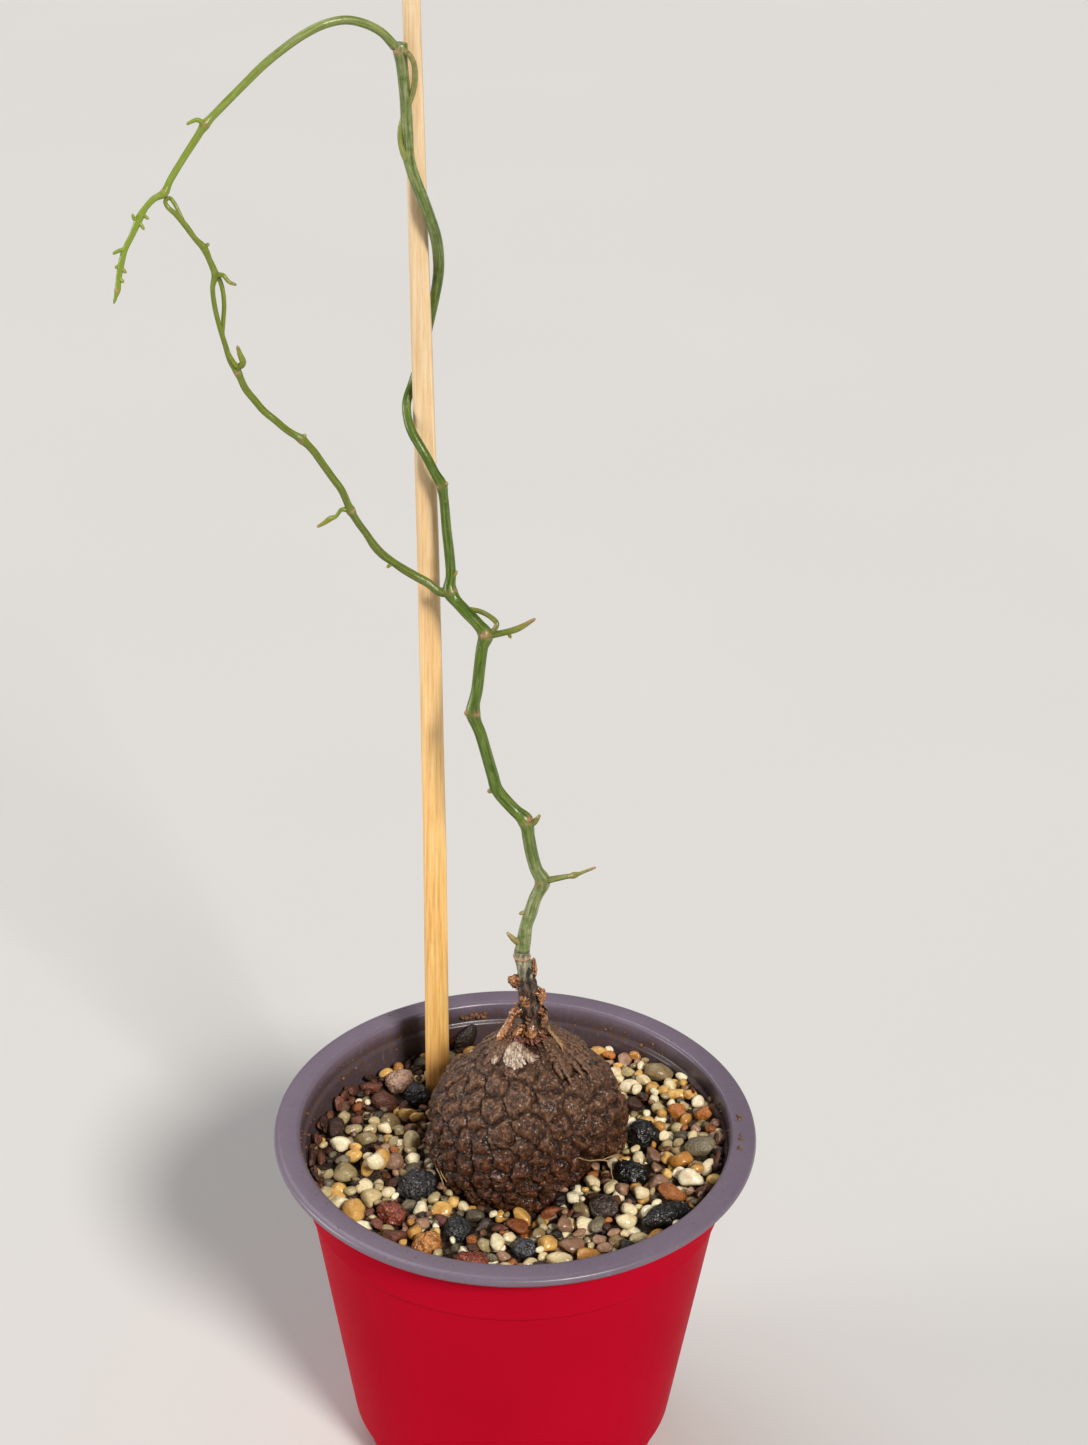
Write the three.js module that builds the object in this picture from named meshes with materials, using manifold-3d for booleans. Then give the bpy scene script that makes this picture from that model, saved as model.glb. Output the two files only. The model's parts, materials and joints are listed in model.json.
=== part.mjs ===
// Potted hottentot bread: a corky caudex in a gravel-topped nursery pot, with one zig-zag vine
// that twines up a bamboo stake. Millimetres, +Z up; the origin is the centre of the pot's bottom.
import * as THREE from 'three';
import { mergeVertices } from 'three/addons/utils/BufferGeometryUtils.js';
import Module from 'manifold-3d';

const wasm = await Module();
wasm.setup();

// Driving dimensions
const GAP = 0.3;
const SMALLEST_EDGE = 0.03;
const SMALLEST_BARK_EDGE = 0.08;
const ROUND_SIDES = 48;
const POT_HEIGHT = 94;
const RIM_RADIUS = 60;
const FLOOR_TOP = 1.2;
const SOIL_TOP = 78;
const GRAVEL_GROOVE_Z = 82.2;
const GRAVEL_SLOPE_Y = 0.012;
const GRAVEL_BANK = 5.6;
const CAUDEX_CENTRE = new THREE.Vector3(2.6, 2, 91.5);
const CAUDEX_RADIUS = 23.4;
const CAUDEX_RISE = 26.6;
const CAUDEX_DEPTH = 19;
const PLATE_LIFT = 1.4;
const SEAT_CLEARANCE = 0.65;
const STEM_FOOT = { x: 3.6, y: 4, z: 117.4, radius: 2.3 };
const STEM_SOCKET_HEIGHT = 12;
const STAKE_FOOT_Z = 14;
const STAKE_TOP_Z = 382;

// Pot outline, [radius, height]: foot band, tapered body, upper band, rolled rim, then the inside
const POT_OUTSIDE = [
  [0, 0], [36.9, 0], [38.0, 1.0], [38.4, 2.4], [39.8, 6.5], [41.4, 10], [51.3, 75],
  [52.1, 75.8], [53.3, 91.2], [59.2, 91.6], [RIM_RADIUS, 92.5], [59.6, 93.6], [58.6, POT_HEIGHT],
];
const POT_INSIDE = [
  [54.1, POT_HEIGHT], [53.4, 93.4], [53.1, 88.9], [52.2, 88.2], [51.1, 76], [50.3, 75.2],
  [40.4, 10.3], [38.8, 6.8], [37.4, 2.6], [36.6, FLOOR_TOP], [0, FLOOR_TOP],
];

// A repeatable stream of numbers from 0 to 1
function randomStream(seed) {
  let state = seed >>> 0;
  return () => {
    state = (Math.imul(state, 1664525) + 1013904223) >>> 0;
    return state / 4294967296;
  };
}

// Closed geometry to a solid and back, keeping the largest body when a cut leaves scraps
function solidOf(geometry) {
  const bare = geometry.clone();
  bare.deleteAttribute('normal');
  bare.deleteAttribute('uv');
  const merged = mergeVertices(bare, 1e-4);
  return new wasm.Manifold(new wasm.Mesh({
    numProp: 3,
    vertProperties: new Float32Array(merged.attributes.position.array),
    triVerts: new Uint32Array(merged.index.array),
  }));
}

function geometryOf(solid, smallestEdge = SMALLEST_EDGE) {
  const mesh = solid.simplify(smallestEdge).getMesh();
  const geometry = new THREE.BufferGeometry();
  geometry.setAttribute('position', new THREE.BufferAttribute(mesh.vertProperties, 3));
  geometry.setIndex(new THREE.BufferAttribute(mesh.triVerts, 1));
  geometry.computeVertexNormals();
  return geometry;
}

function largestBody(solid) {
  const bodies = solid.decompose();
  return bodies.reduce((best, body) => (body.volume() > best.volume() ? body : best));
}

function union(solids) {
  return solids.reduce((sum, next) => sum.add(next));
}

// A geometry made from points and triangles
function meshOf(points, triangles) {
  const geometry = new THREE.BufferGeometry().setFromPoints(points);
  geometry.setIndex(triangles);
  return geometry;
}

// A skin through rings of equal point count, closed by a flat fan at each end
function loft(rings) {
  const count = rings[0].length;
  const triangles = [];
  for (let r = 0; r < rings.length - 1; r += 1) {
    for (let i = 0; i < count; i += 1) {
      const a = r * count + i;
      const b = r * count + ((i + 1) % count);
      triangles.push(a, b, b + count, a, b + count, a + count);
    }
  }
  const last = (rings.length - 1) * count;
  for (let i = 1; i < count - 1; i += 1) {
    triangles.push(0, i + 1, i, last, last + i, last + i + 1);
  }
  return meshOf(rings.flat(), triangles);
}

// A stem or spike along [x, y, z, radius] stations, with rings that never twist
function stem(stations, sides = 6, extra = 0) {
  const centres = stations.map(([x, y, z]) => new THREE.Vector3(x, y, z));
  let across = new THREE.Vector3(1, 0.15, 0);
  const rings = centres.map((centre, i) => {
    const before = centres[Math.max(i - 1, 0)];
    const after = centres[Math.min(i + 1, centres.length - 1)];
    const along = after.clone().sub(before).normalize();
    across = across.clone().addScaledVector(along, -across.dot(along)).normalize();
    const side = along.clone().cross(across);
    const radius = stations[i][3] + extra;
    const endShift = (i === 0 ? -extra : 0) + (i === centres.length - 1 ? extra : 0);
    centre.addScaledVector(along, endShift);
    return Array.from({ length: sides }, (_, k) => {
      const angle = (2 * Math.PI * k) / sides;
      return centre.clone()
        .addScaledVector(across, radius * Math.cos(angle))
        .addScaledVector(side, radius * Math.sin(angle));
    });
  });
  return solidOf(loft(rings));
}

// A thin curled scale of bark along [x, y, z, half width] stations
const SCALE_HALF_THICKNESS = 0.45;
function barkScale(stations, faceX, faceY) {
  const out = new THREE.Vector3(faceX, faceY, 0).normalize();
  const across = new THREE.Vector3(-out.y, out.x, 0);
  const corners = [[1, 0], [0.45, 1], [-0.45, 1], [-1, 0], [-0.45, -1], [0.45, -1]];
  const rings = stations.map(([x, y, z, half]) => corners.map(([u, v]) => new THREE.Vector3(x, y, z)
    .addScaledVector(across, u * half)
    .addScaledVector(out, v * SCALE_HALF_THICKNESS)));
  return solidOf(loft(rings));
}

// Pot and soil
function turned(profile) {
  const points = profile.map(([radius, height]) => new THREE.Vector2(radius, height));
  return new THREE.LatheGeometry(points, ROUND_SIDES).rotateX(Math.PI / 2);
}

function innerRadius(height) {
  for (let i = 1; i < POT_INSIDE.length; i += 1) {
    const [upperRadius, upper] = POT_INSIDE[i - 1];
    const [lowerRadius, lower] = POT_INSIDE[i];
    if (height <= upper && height >= lower && upper > lower) {
      return lowerRadius + ((upperRadius - lowerRadius) * (height - lower)) / (upper - lower);
    }
  }
  return 0;
}

function soilBody() {
  const wall = POT_INSIDE
    .filter(([radius, height]) => radius > 0 && height < SOIL_TOP)
    .map(([radius, height]) => [radius - GAP, Math.max(height, FLOOR_TOP + GAP)])
    .reverse();
  return solidOf(turned([
    [0, FLOOR_TOP + GAP], ...wall, [innerRadius(SOIL_TOP) - GAP, SOIL_TOP], [0, SOIL_TOP],
  ]));
}

// Cells: each surface is divided among scattered seeds, and each cell rises from its shared
// outline to a ring and a top, so neighbours meet in a groove
function clipCell(cell, nx, ny, limit) {
  const kept = [];
  cell.forEach(([x, y], i) => {
    const [u, v] = cell[(i + 1) % cell.length];
    const here = nx * x + ny * y - limit;
    const next = nx * u + ny * v - limit;
    if (here <= 0) kept.push([x, y]);
    if (here * next < 0) {
      const t = here / (here - next);
      kept.push([x + (u - x) * t, y + (v - y) * t]);
    }
  });
  return kept;
}

class CellSurface {
  constructor() {
    this.points = [];
    this.triangles = [];
  }

  add(point) {
    return this.points.push(point) - 1;
  }

  shared(point) {
    const same = 0.04;
    const found = this.points.findIndex((other) => other.distanceToSquared(point) < same * same);
    return found < 0 ? this.add(point) : found;
  }

  cell(outline, ring, top) {
    const rim = outline.map((point) => this.shared(point));
    const keep = rim.map((id, i) => id !== rim[(i + 1) % rim.length]);
    const outer = rim.filter((_, i) => keep[i]);
    const inner = ring.filter((_, i) => keep[i]).map((point) => this.add(point));
    const centre = this.add(top);
    outer.forEach((a, i) => {
      const j = (i + 1) % outer.length;
      this.triangles.push(a, outer[j], inner[j], a, inner[j], inner[i], centre, inner[i], inner[j]);
    });
  }
}

// Caudex: plates over a rounded body. It narrows to the stem, most of all at the back left, and a
// notch with a slanting upper ledge is set back into its right front.
function caudexPoint(direction, lift) {
  const { x, y, z } = direction;
  const { smoothstep } = THREE.MathUtils;
  const turn = Math.atan2(y, x);
  const ledge = 0.26 - 0.533 * (turn + 0.96);
  const below = smoothstep(ledge - z, -0.04, 0.12);
  const beside = smoothstep(turn - 0.6 * z, -1.1, -0.9) * (1 - smoothstep(turn, -0.35, 0.3));
  const notch = 0.26 * below * beside;
  const shoulder = (0.16 + 0.12 * Math.cos(turn - 2.5)) * smoothstep(z, 0.35, 0.9);
  const lobes = 0.022 * Math.sin(2 * turn + 0.6) + 0.014 * Math.sin(3 * turn + 2);
  const radius = CAUDEX_RADIUS * (1 + lobes - notch - shoulder);
  const height = z > 0 ? CAUDEX_RISE : CAUDEX_DEPTH;
  return new THREE.Vector3(radius * x, radius * y, height * z)
    .addScaledVector(direction, lift)
    .add(CAUDEX_CENTRE);
}

// Centres of the plates in front: degrees round the caudex, and height as a share of its rise
const FRONT_PLATES = [
  [-123, 0.78], [-97, 0.74], [-66, 0.84], [-34, 0.72], [-71, 0.66], [-50, 0.54], [-87, 0.5], [-126, 0.48],
  [-118, 0.62], [-107, 0.43], [-65, 0.44], [-139, 0.62], [-26, 0.53], [-36, 0.34], [-18, 0.32], [-51, 0.29],
  [-25, 0.06], [-40, 0.17], [-117, 0.17], [-102, 0.24], [-93, 0.34], [-82, 0.21], [-73, 0.38], [-63, 0.28],
  [-92, 0.13], [-104, 0.01], [-88, -0.07], [-79, 0.06], [-68, 0.09], [-73, -0.12], [-118, -0.03],
  [-96, -0.25], [-127, 0.08], [-138, 0.07], [-130, 0.3], [-120, 0.34], [-143, 0.25], [-156, 0.25],
  [-150, 0.47], [-163, 0.36], [-140, 0.39], [-158, 0.58], [-147, 0.7], [-19, 0.65], [-15, 0.51],
  [-31, 0.87], [-85, 0.9], [-21, 0.19], [-56, 0.14], [-45, 0.42],
];

// All plate centres: those in front, and a spiral of others wherever there is room
function plateSeeds() {
  const random = randomStream(7);
  const goldenAngle = Math.PI * (3 - Math.sqrt(5));
  const heightJitter = 0.9;
  const turnJitter = 0.16;
  const room = 0.21;
  const seedAt = (turn, z) => {
    const flat = Math.sqrt(1 - z * z);
    return new THREE.Vector3(flat * Math.cos(turn), flat * Math.sin(turn), z);
  };
  const seeds = FRONT_PLATES.map(([degrees, z]) => seedAt(THREE.MathUtils.degToRad(degrees), z));
  const scatter = (count, high, low) => {
    for (let i = 0; i < count; i += 1) {
      const z = high - ((high - low) * (i + 0.5 + heightJitter * (random() - 0.5))) / count;
      const seed = seedAt(goldenAngle * i + turnJitter * (random() - 0.5), z);
      if (seeds.every((other) => other.distanceTo(seed) > room)) seeds.push(seed);
    }
  };
  const top = 0.985;
  const buriedFrom = -0.5;
  const bottom = -0.98;
  scatter(140, top, buriedFrom);
  scatter(14, buriedFrom, bottom);
  return seeds;
}

function caudexBody() {
  const surface = new CellSurface();
  const seeds = plateSeeds();
  const random = randomStream(21);
  const reach = 1.2;
  const ringShare = 0.74;
  seeds.forEach((seed) => {
    const right = new THREE.Vector3(-seed.y, seed.x, 0).normalize();
    const up = seed.clone().cross(right);
    let cell = [[-reach, -reach], [reach, -reach], [reach, reach], [-reach, reach]];
    seeds.forEach((other) => {
      const away = other.clone().sub(seed);
      const distance = away.length();
      if (distance > 0 && distance < reach) {
        cell = clipCell(cell, right.dot(away), up.dot(away), -seed.dot(away));
      }
    });
    const outlineDirections = cell.map(([a, b]) => seed.clone()
      .addScaledVector(right, a).addScaledVector(up, b).normalize());
    const lift = PLATE_LIFT * (0.75 + 0.25 * random());
    const ringDirections = outlineDirections.map((direction) => seed.clone()
      .lerp(direction, ringShare).normalize());
    surface.cell(
      outlineDirections.map((direction) => caudexPoint(direction, 0)),
      ringDirections.map((direction) => caudexPoint(direction, lift * 0.9)),
      caudexPoint(seed, lift),
    );
  });
  return solidOf(meshOf(surface.points, surface.triangles));
}

// A smooth solid just outside the plates, which hollows the soil and gravel round the caudex
function caudexSeat() {
  const geometry = new THREE.SphereGeometry(1, 36, 18);
  const position = geometry.attributes.position;
  for (let i = 0; i < position.count; i += 1) {
    const direction = new THREE.Vector3().fromBufferAttribute(position, i).normalize();
    const point = caudexPoint(direction, PLATE_LIFT + SEAT_CLEARANCE);
    position.setXYZ(i, point.x, point.y, point.z);
  }
  return solidOf(geometry);
}

// Roots that leave the caudex's underside and thin out in the soil, [distance out, z, radius]
const ROOT_LINE = [[6, 76, 3], [11, 68, 2.4], [17, 58, 1.7], [21, 44, 0.8]];
const ROOT_COUNT = 5;

function roots(extra) {
  return union(Array.from({ length: ROOT_COUNT }, (_, i) => {
    const heading = 0.2 + (2 * Math.PI * i) / ROOT_COUNT;
    const line = ROOT_LINE.map(([out, z, radius]) => {
      const turn = heading + 0.01 * out;
      const x = CAUDEX_CENTRE.x + out * Math.cos(turn);
      const y = CAUDEX_CENTRE.y + out * Math.sin(turn);
      return [x, y, z, radius];
    });
    return stem(line, 6, extra);
  }));
}

// Gravel: one bed of pebbles, banked up on the right, with sockets for what stands in it
function groundZ(x, y) {
  const bank = GRAVEL_BANK * THREE.MathUtils.smoothstep(x, 8, 52);
  const waves = 0.25 * Math.sin(0.13 * x + 0.8) * Math.cos(0.11 * y);
  return GRAVEL_GROOVE_Z + bank + GRAVEL_SLOPE_Y * y + waves;
}

function pebbleSeeds(bedRadius) {
  const random = randomStream(3);
  const seeds = [];
  const tries = 9000;
  const wallMargin = 1.6;
  const hiddenRadius = 18;
  for (let i = 0; i < tries; i += 1) {
    const x = bedRadius * (2 * random() - 1);
    const y = bedRadius * (2 * random() - 1);
    const spacing = 4.7 + 2.4 * random() ** 2;
    const inside = Math.hypot(x, y) < bedRadius - wallMargin;
    const underCaudex = Math.hypot(x - CAUDEX_CENTRE.x, y - CAUDEX_CENTRE.y) < hiddenRadius;
    const clear = seeds.every(([a, b, own]) => Math.hypot(x - a, y - b) > (spacing + own) / 2);
    if (inside && !underCaudex && clear) seeds.push([x, y, spacing]);
  }
  seeds.push([CAUDEX_CENTRE.x, CAUDEX_CENTRE.y, 5]);
  return seeds;
}

function gravelBed() {
  const surface = new CellSurface();
  const bedRadius = innerRadius(GRAVEL_GROOVE_Z) - GAP;
  const edge = Array.from({ length: ROUND_SIDES }, (_, i) => {
    const turn = (2 * Math.PI * i) / ROUND_SIDES;
    return [bedRadius * Math.cos(turn), bedRadius * Math.sin(turn)];
  });
  const seeds = pebbleSeeds(bedRadius);
  const random = randomStream(11);
  const ringShare = 0.66;
  const lookAround = 45;
  const tilt = () => 0.24 * (random() - 0.5);
  const onGround = (a, b) => {
    const z = groundZ(a, b);
    const reach = (innerRadius(z) - GAP) / bedRadius;
    return new THREE.Vector3(a * reach, b * reach, z);
  };
  seeds.forEach(([x, y, spacing]) => {
    let cell = edge;
    seeds.forEach(([u, v]) => {
      const dx = u - x;
      const dy = v - y;
      const distance = Math.hypot(dx, dy);
      if (distance > 0 && distance < lookAround) {
        cell = clipCell(cell, dx, dy, (dx * (x + u) + dy * (y + v)) / 2);
      }
    });
    const height = spacing * (0.3 + 0.14 * random());
    const tiltX = tilt();
    const tiltY = tilt();
    const raised = (a, b, lift) => new THREE.Vector3(
      a, b, groundZ(a, b) + lift + tiltX * (a - x) + tiltY * (b - y));
    const ring = cell.map(([a, b]) => [x + ringShare * (a - x), y + ringShare * (b - y)]);
    surface.cell(
      cell.map(([a, b]) => onGround(a, b)),
      ring.map(([a, b]) => raised(a, b, 0.82 * height)),
      raised(x, y, height),
    );
  });
  return closeBelow(surface, SOIL_TOP + GAP, innerRadius(SOIL_TOP + GAP) - GAP);
}

// A round wall and a flat bottom under an open surface: each edge used once gets a piece of wall
function closeBelow(surface, bottomZ, bottomRadius) {
  const { points, triangles } = surface;
  const used = new Set();
  for (let i = 0; i < triangles.length; i += 3) {
    for (let k = 0; k < 3; k += 1) used.add(`${triangles[i + k]} ${triangles[i + ((k + 1) % 3)]}`);
  }
  const centre = surface.add(new THREE.Vector3(0, 0, bottomZ));
  const feet = new Map();
  const foot = (id) => {
    if (!feet.has(id)) {
      const { x, y } = points[id];
      const shrink = bottomRadius / Math.hypot(x, y);
      feet.set(id, surface.add(new THREE.Vector3(x * shrink, y * shrink, bottomZ)));
    }
    return feet.get(id);
  };
  [...used].forEach((key) => {
    const [a, b] = key.split(' ').map(Number);
    if (!used.has(`${b} ${a}`)) {
      triangles.push(b, a, foot(a), b, foot(a), foot(b), foot(b), foot(a), centre);
    }
  });
  return solidOf(meshOf(points, triangles));
}

// Larger stones that lie in the gravel: place, half sizes, turn, seed and colour
const STONES = {
  lava_left: { at: [-24, -12], half: [5.4, 4.4, 4.0], turn: 0.5, seed: 31, colour: 0x2b2c30 },
  lava_back: { at: [-25.6, 24.9], half: [3.9, 3.4, 2.9], turn: 2.1, seed: 32, colour: 0x232325 },
  lava_front: { at: [-13.2, -28.4], half: [3.7, 3.5, 3.0], turn: 0.9, seed: 33, colour: 0x34363a },
  charcoal_right: { at: [32.3, 5.8], half: [4.7, 4.2, 3.8], turn: 1.3, seed: 34, colour: 0x1d1c1c },
  charcoal_low: { at: [28.6, -8.6], half: [4.7, 3.7, 3.2], turn: 2.7, seed: 35, colour: 0x181717 },
  charcoal_long: { at: [37.4, -27], half: [7.4, 3.5, 2.9], turn: 0.42, seed: 36, colour: 0x171616 },
  slate_stone: { at: [2.8, -34.6], half: [3.0, 2.9, 2.6], turn: 0.2, seed: 37, colour: 0x3a4048 },
  brown_stone: { at: [22.1, -20.8], half: [3.4, 3.7, 3.0], turn: 1.1, seed: 38, colour: 0x4a3d38 },
  red_stone: { at: [-29.7, -22.6], half: [4.1, 3.4, 2.9], turn: 2.5, seed: 39, colour: 0x7a3526 },
  brick_stone: { at: [-9.5, -40.4], half: [4.8, 3.0, 2.7], turn: 3.0, seed: 40, colour: 0x8a4a35 },
  ochre_stone: { at: [-20.4, -34], half: [4.0, 3.2, 2.9], turn: 0.6, seed: 41, colour: 0xb9783c },
  rosy_stone: { at: [-31, 31], half: [4.1, 3.5, 3.0], turn: 0.8, seed: 42, colour: 0xb08a76 },
};
const STONE_LIFT = 1.3;

function stoneBody({ at: [x, y], half, turn, seed }, extra) {
  const ball = new THREE.IcosahedronGeometry(1, 1).deleteAttribute('normal').deleteAttribute('uv');
  const geometry = mergeVertices(ball, 1e-4);
  const random = randomStream(seed);
  const size = new THREE.Vector3(...half).addScalar(extra);
  const position = geometry.attributes.position;
  const roughness = 0.2;
  for (let i = 0; i < position.count; i += 1) {
    const swell = 1 + roughness * (random() - 0.6);
    const point = new THREE.Vector3().fromBufferAttribute(position, i);
    point.multiply(size).multiplyScalar(swell);
    position.setXYZ(i, point.x, point.y, point.z);
  }
  geometry.rotateZ(turn).translate(x, y, groundZ(x, y) + STONE_LIFT);
  return solidOf(geometry);
}

// Stake: one split bamboo stick that thins upwards and leans a little, [x, y, z, half width]
const STAKE_LINE = [
  [-19.9, 27.7, STAKE_FOOT_Z, 3.5], [-20.4, 29.6, 84, 3.3], [-21, 31.3, 154, 3.05],
  [-22.4, 33.5, 237, 2.75], [-23.6, 34.9, 284, 2.55], [-24.2, 35.6, 307, 2.35],
  [-26, 37.8, STAKE_TOP_Z, 1.95],
];
const STAKE_OUTLINE = [
  [1, -0.45], [1, 0.2], [0.6, 0.72], [0, 0.86], [-0.6, 0.72],
  [-1, 0.2], [-1, -0.45], [-0.72, -0.8], [0, -0.88], [0.72, -0.8],
];

function stakeBody(extra) {
  const last = STAKE_LINE.length - 1;
  const rings = STAKE_LINE.map(([x, y, z, half], i) => {
    const lengthen = (i === 0 ? -extra : 0) + (i === last ? extra : 0);
    const reach = half + extra;
    return STAKE_OUTLINE.map(([u, v]) => new THREE.Vector3(x + u * reach, y + v * reach, z + lengthen));
  });
  return solidOf(loft(rings));
}

// Woody base: the old stem, [x, y, z, radius], in a socket in the caudex's top
const WOODY_LINE = [
  [STEM_FOOT.x, STEM_FOOT.y, STEM_FOOT.z, STEM_FOOT.radius],
  [3.6, 4, 121, 2.4], [3.4, 4, 124, 2.2], [3.2, 4, 126.5, 2.6],
  [2.6, 4, 130, 2.3], [2.2, 4, 132.6, 2.6], [2.2, 4, 134.6, 2.2], [1.7, 4, 138, 1.95],
  [1.1, 4, 140.4, 2], [1, 4, 141.7, 1.9],
];

// Bark scales: the way each one faces, and its [x, y, z, half width] from the stem to its loose end
const BARK_SCALES = [
  { facing: [-1, -0.5],
    line: [[2, 3.2, 126.8, 0.9], [-1, 2.2, 126.2, 1.1], [-1.9, 1.8, 123.4, 1.2], [-3.3, 1.3, 121.4, 1.2],
      [-4.3, 1, 119.6, 0.9], [-4.4, 0.9, 118.2, 0.5]] },
  { facing: [1, -0.4],
    line: [[4.1, 3.7, 131.7, 0.7], [6, 3.4, 130.5, 1.1], [6.6, 3.3, 128.8, 1.2], [6.2, 3.2, 127.6, 0.7]] },
  { facing: [1, -0.5],
    line: [[4.7, 3.1, 126.4, 0.8], [7.3, 2.6, 125.3, 1.1], [7.4, 2.4, 123.5, 1], [6.3, 2.3, 121.7, 0.5]] },
  { facing: [-1, -0.2],
    line: [[1.6, 3.4, 133.2, 0.9], [-0.5, 3, 134, 1.2], [-2.1, 2.8, 134.5, 0.6]] },
  { facing: [1, 0.1],
    line: [[3.4, 4, 133.6, 0.8], [4.4, 4, 136, 1], [4.3, 4, 138.6, 0.8], [3.9, 4, 140.3, 0.4]] },
  { facing: [-0.2, -1],
    line: [[2.4, 2.4, 131.4, 0.8], [2.2, 1.5, 129.8, 1.3], [2.5, 1.4, 128, 1.1], [2.9, 2, 126.6, 0.5]] },
  { facing: [0.1, -1],
    line: [[3.7, 2.3, 122.8, 0.8], [3.7, 1.3, 121, 1.4], [3.8, 0.7, 119.4, 1.1]] },
  { facing: [-0.6, -1],
    line: [[1.9, 2.8, 121.6, 0.7], [0.4, 1.7, 120.3, 0.8], [-0.8, 1, 119.5, 0.4]] },
  { facing: [0.2, 1],
    line: [[2.8, 5.8, 130.6, 0.8], [3, 6.8, 127.8, 1.4], [3.2, 7.4, 124.4, 0.8]] },
  { facing: [0.9, 0.7],
    line: [[4.4, 5.4, 126.4, 0.8], [6.2, 6.4, 124.6, 1.2], [7, 7, 122.4, 0.6]] },
  { facing: [-0.9, 0.7],
    line: [[2.2, 5.4, 126.2, 0.8], [0.7, 6.4, 124.4, 1.2], [-0.2, 7, 122.2, 0.6]] },
];

// Main stem: [x, y, z, radius], thicker at each leaf node, winding once round the stake
const MAIN_LINE = [
  [1.1, 4, 142.5, 1.85], [1.5, 4.5, 145.5, 1.75], [2, 5, 149, 1.55], [3, 5.5, 152.5, 1.65],
  [4, 6, 156, 1.55], [5.7, 6.5, 160.5, 1.95], [4.2, 7, 163.4, 1.55], [3, 7.6, 167.5, 1.55],
  [2.2, 8.3, 171.5, 1.55], [1.4, 9, 175.7, 1.95], [-1.6, 10, 178.4, 1.5], [-5.5, 11, 183, 1.5],
  [-6.5, 11.6, 186.3, 1.45], [-8, 12.5, 191.5, 1.4], [-9.5, 13.5, 196.5, 1.4], [-11.3, 14.5, 201.5, 1.8],
  [-10.4, 16, 207, 1.4], [-9.9, 17, 212, 1.4], [-9.3, 18.2, 217, 1.4], [-8.6, 19, 219.6, 1.85],
  [-10.6, 20.4, 222, 1.4], [-13.5, 22, 224.4, 1.4], [-17, 24.5, 228, 1.8], [-16.9, 25.5, 232, 1.2],
  [-17.3, 26.5, 237, 1.2], [-17.9, 27.3, 242, 1.15], [-18.6, 27.9, 250, 1.1], [-19.2, 28, 253.5, 1.4],
  [-20.8, 27.8, 256.8, 1.1], [-22.2, 28, 259.6, 1.1], [-24.1, 29, 262.6, 1.1], [-25.9, 30.6, 265.2, 1.1],
  [-27.1, 33, 268, 1.05], [-27.3, 35.3, 270.8, 1.05], [-26, 38, 274.4, 1.1], [-24.2, 39.1, 280, 1.1],
  [-22.4, 39.3, 288, 1.15], [-20.9, 38.5, 295, 1.15], [-20, 36.8, 301, 1.25], [-19.9, 34.4, 306, 1.3],
  [-20.4, 32, 311, 1.3], [-21.7, 31, 315.6, 1.3], [-23.2, 30.6, 320, 1.3], [-24.9, 31.2, 324.2, 1.3],
  [-26.2, 31.8, 328.5, 1.3], [-26.4, 32, 333, 1.3], [-26.6, 32.1, 337, 1.3], [-26.8, 32.3, 341, 1.25],
  [-27.2, 32.5, 345.5, 1.25], [-27.6, 32.5, 349.5, 1.3], [-27.8, 32.5, 351.6, 1.65],
  [-27.7, 32.6, 353.2, 1.3],
];

const MAIN_SPIKES = [
  [[1, 4.2, 144, 0.9], [-0.8, 3.2, 146, 0.75], [-2.6, 2.4, 148.5, 0.35]],
  [[2.8, 5.5, 152.8, 0.7], [0.2, 5, 152.2, 0.4]],
  [[5.8, 6.3, 160.7, 0.9], [11, 4.2, 163.3, 0.65], [13.2, 3.2, 164.4, 0.8], [18.2, 1, 168, 0.3]],
  [[1.6, 8.8, 175.2, 1], [3.3, 8.5, 175.6, 0.85], [4.9, 8, 178, 0.3]],
  [[-6, 11.2, 183, 0.8], [-7.7, 10.6, 182.5, 0.5]],
  [[-11.2, 14.4, 201.5, 1], [-13.3, 13.6, 201.9, 0.6]],
  [[-8.6, 19, 219.4, 0.9], [-4, 18.9, 220.5, 0.75], [-1, 18.8, 221.6, 0.75], [3, 18.8, 224.2, 0.35]],
  [[-3.4, 18.8, 220.6, 0.5], [-2.6, 18.4, 219.2, 0.35]],
  [[-8.4, 19, 220, 0.6], [-6.4, 18.7, 221.4, 0.6], [-6, 19.2, 222.6, 0.65], [-7.4, 20.4, 223.6, 0.6],
    [-10, 22.2, 224.2, 0.6], [-13, 22.8, 224.5, 0.6]],
  [[-16.8, 25.2, 230.6, 0.7], [-15.4, 24.6, 233.4, 0.35]],
  [[-19, 27.9, 253.4, 0.8], [-17.6, 27.2, 254.2, 0.45]],
  [[-27.6, 32.3, 351.8, 0.8], [-26, 30.8, 351.3, 0.6], [-25, 30.6, 349.8, 0.6],
    [-24.6, 31, 347, 0.65], [-24.8, 31.4, 344.5, 0.65], [-25.6, 31.9, 341.5, 0.65],
    [-26.8, 32.2, 338.5, 0.65], [-27.9, 31.9, 335, 0.6], [-27.9, 31.2, 332, 0.6],
    [-27.2, 30.6, 329.5, 0.65], [-26.8, 30.4, 328, 0.35]],
];

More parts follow.
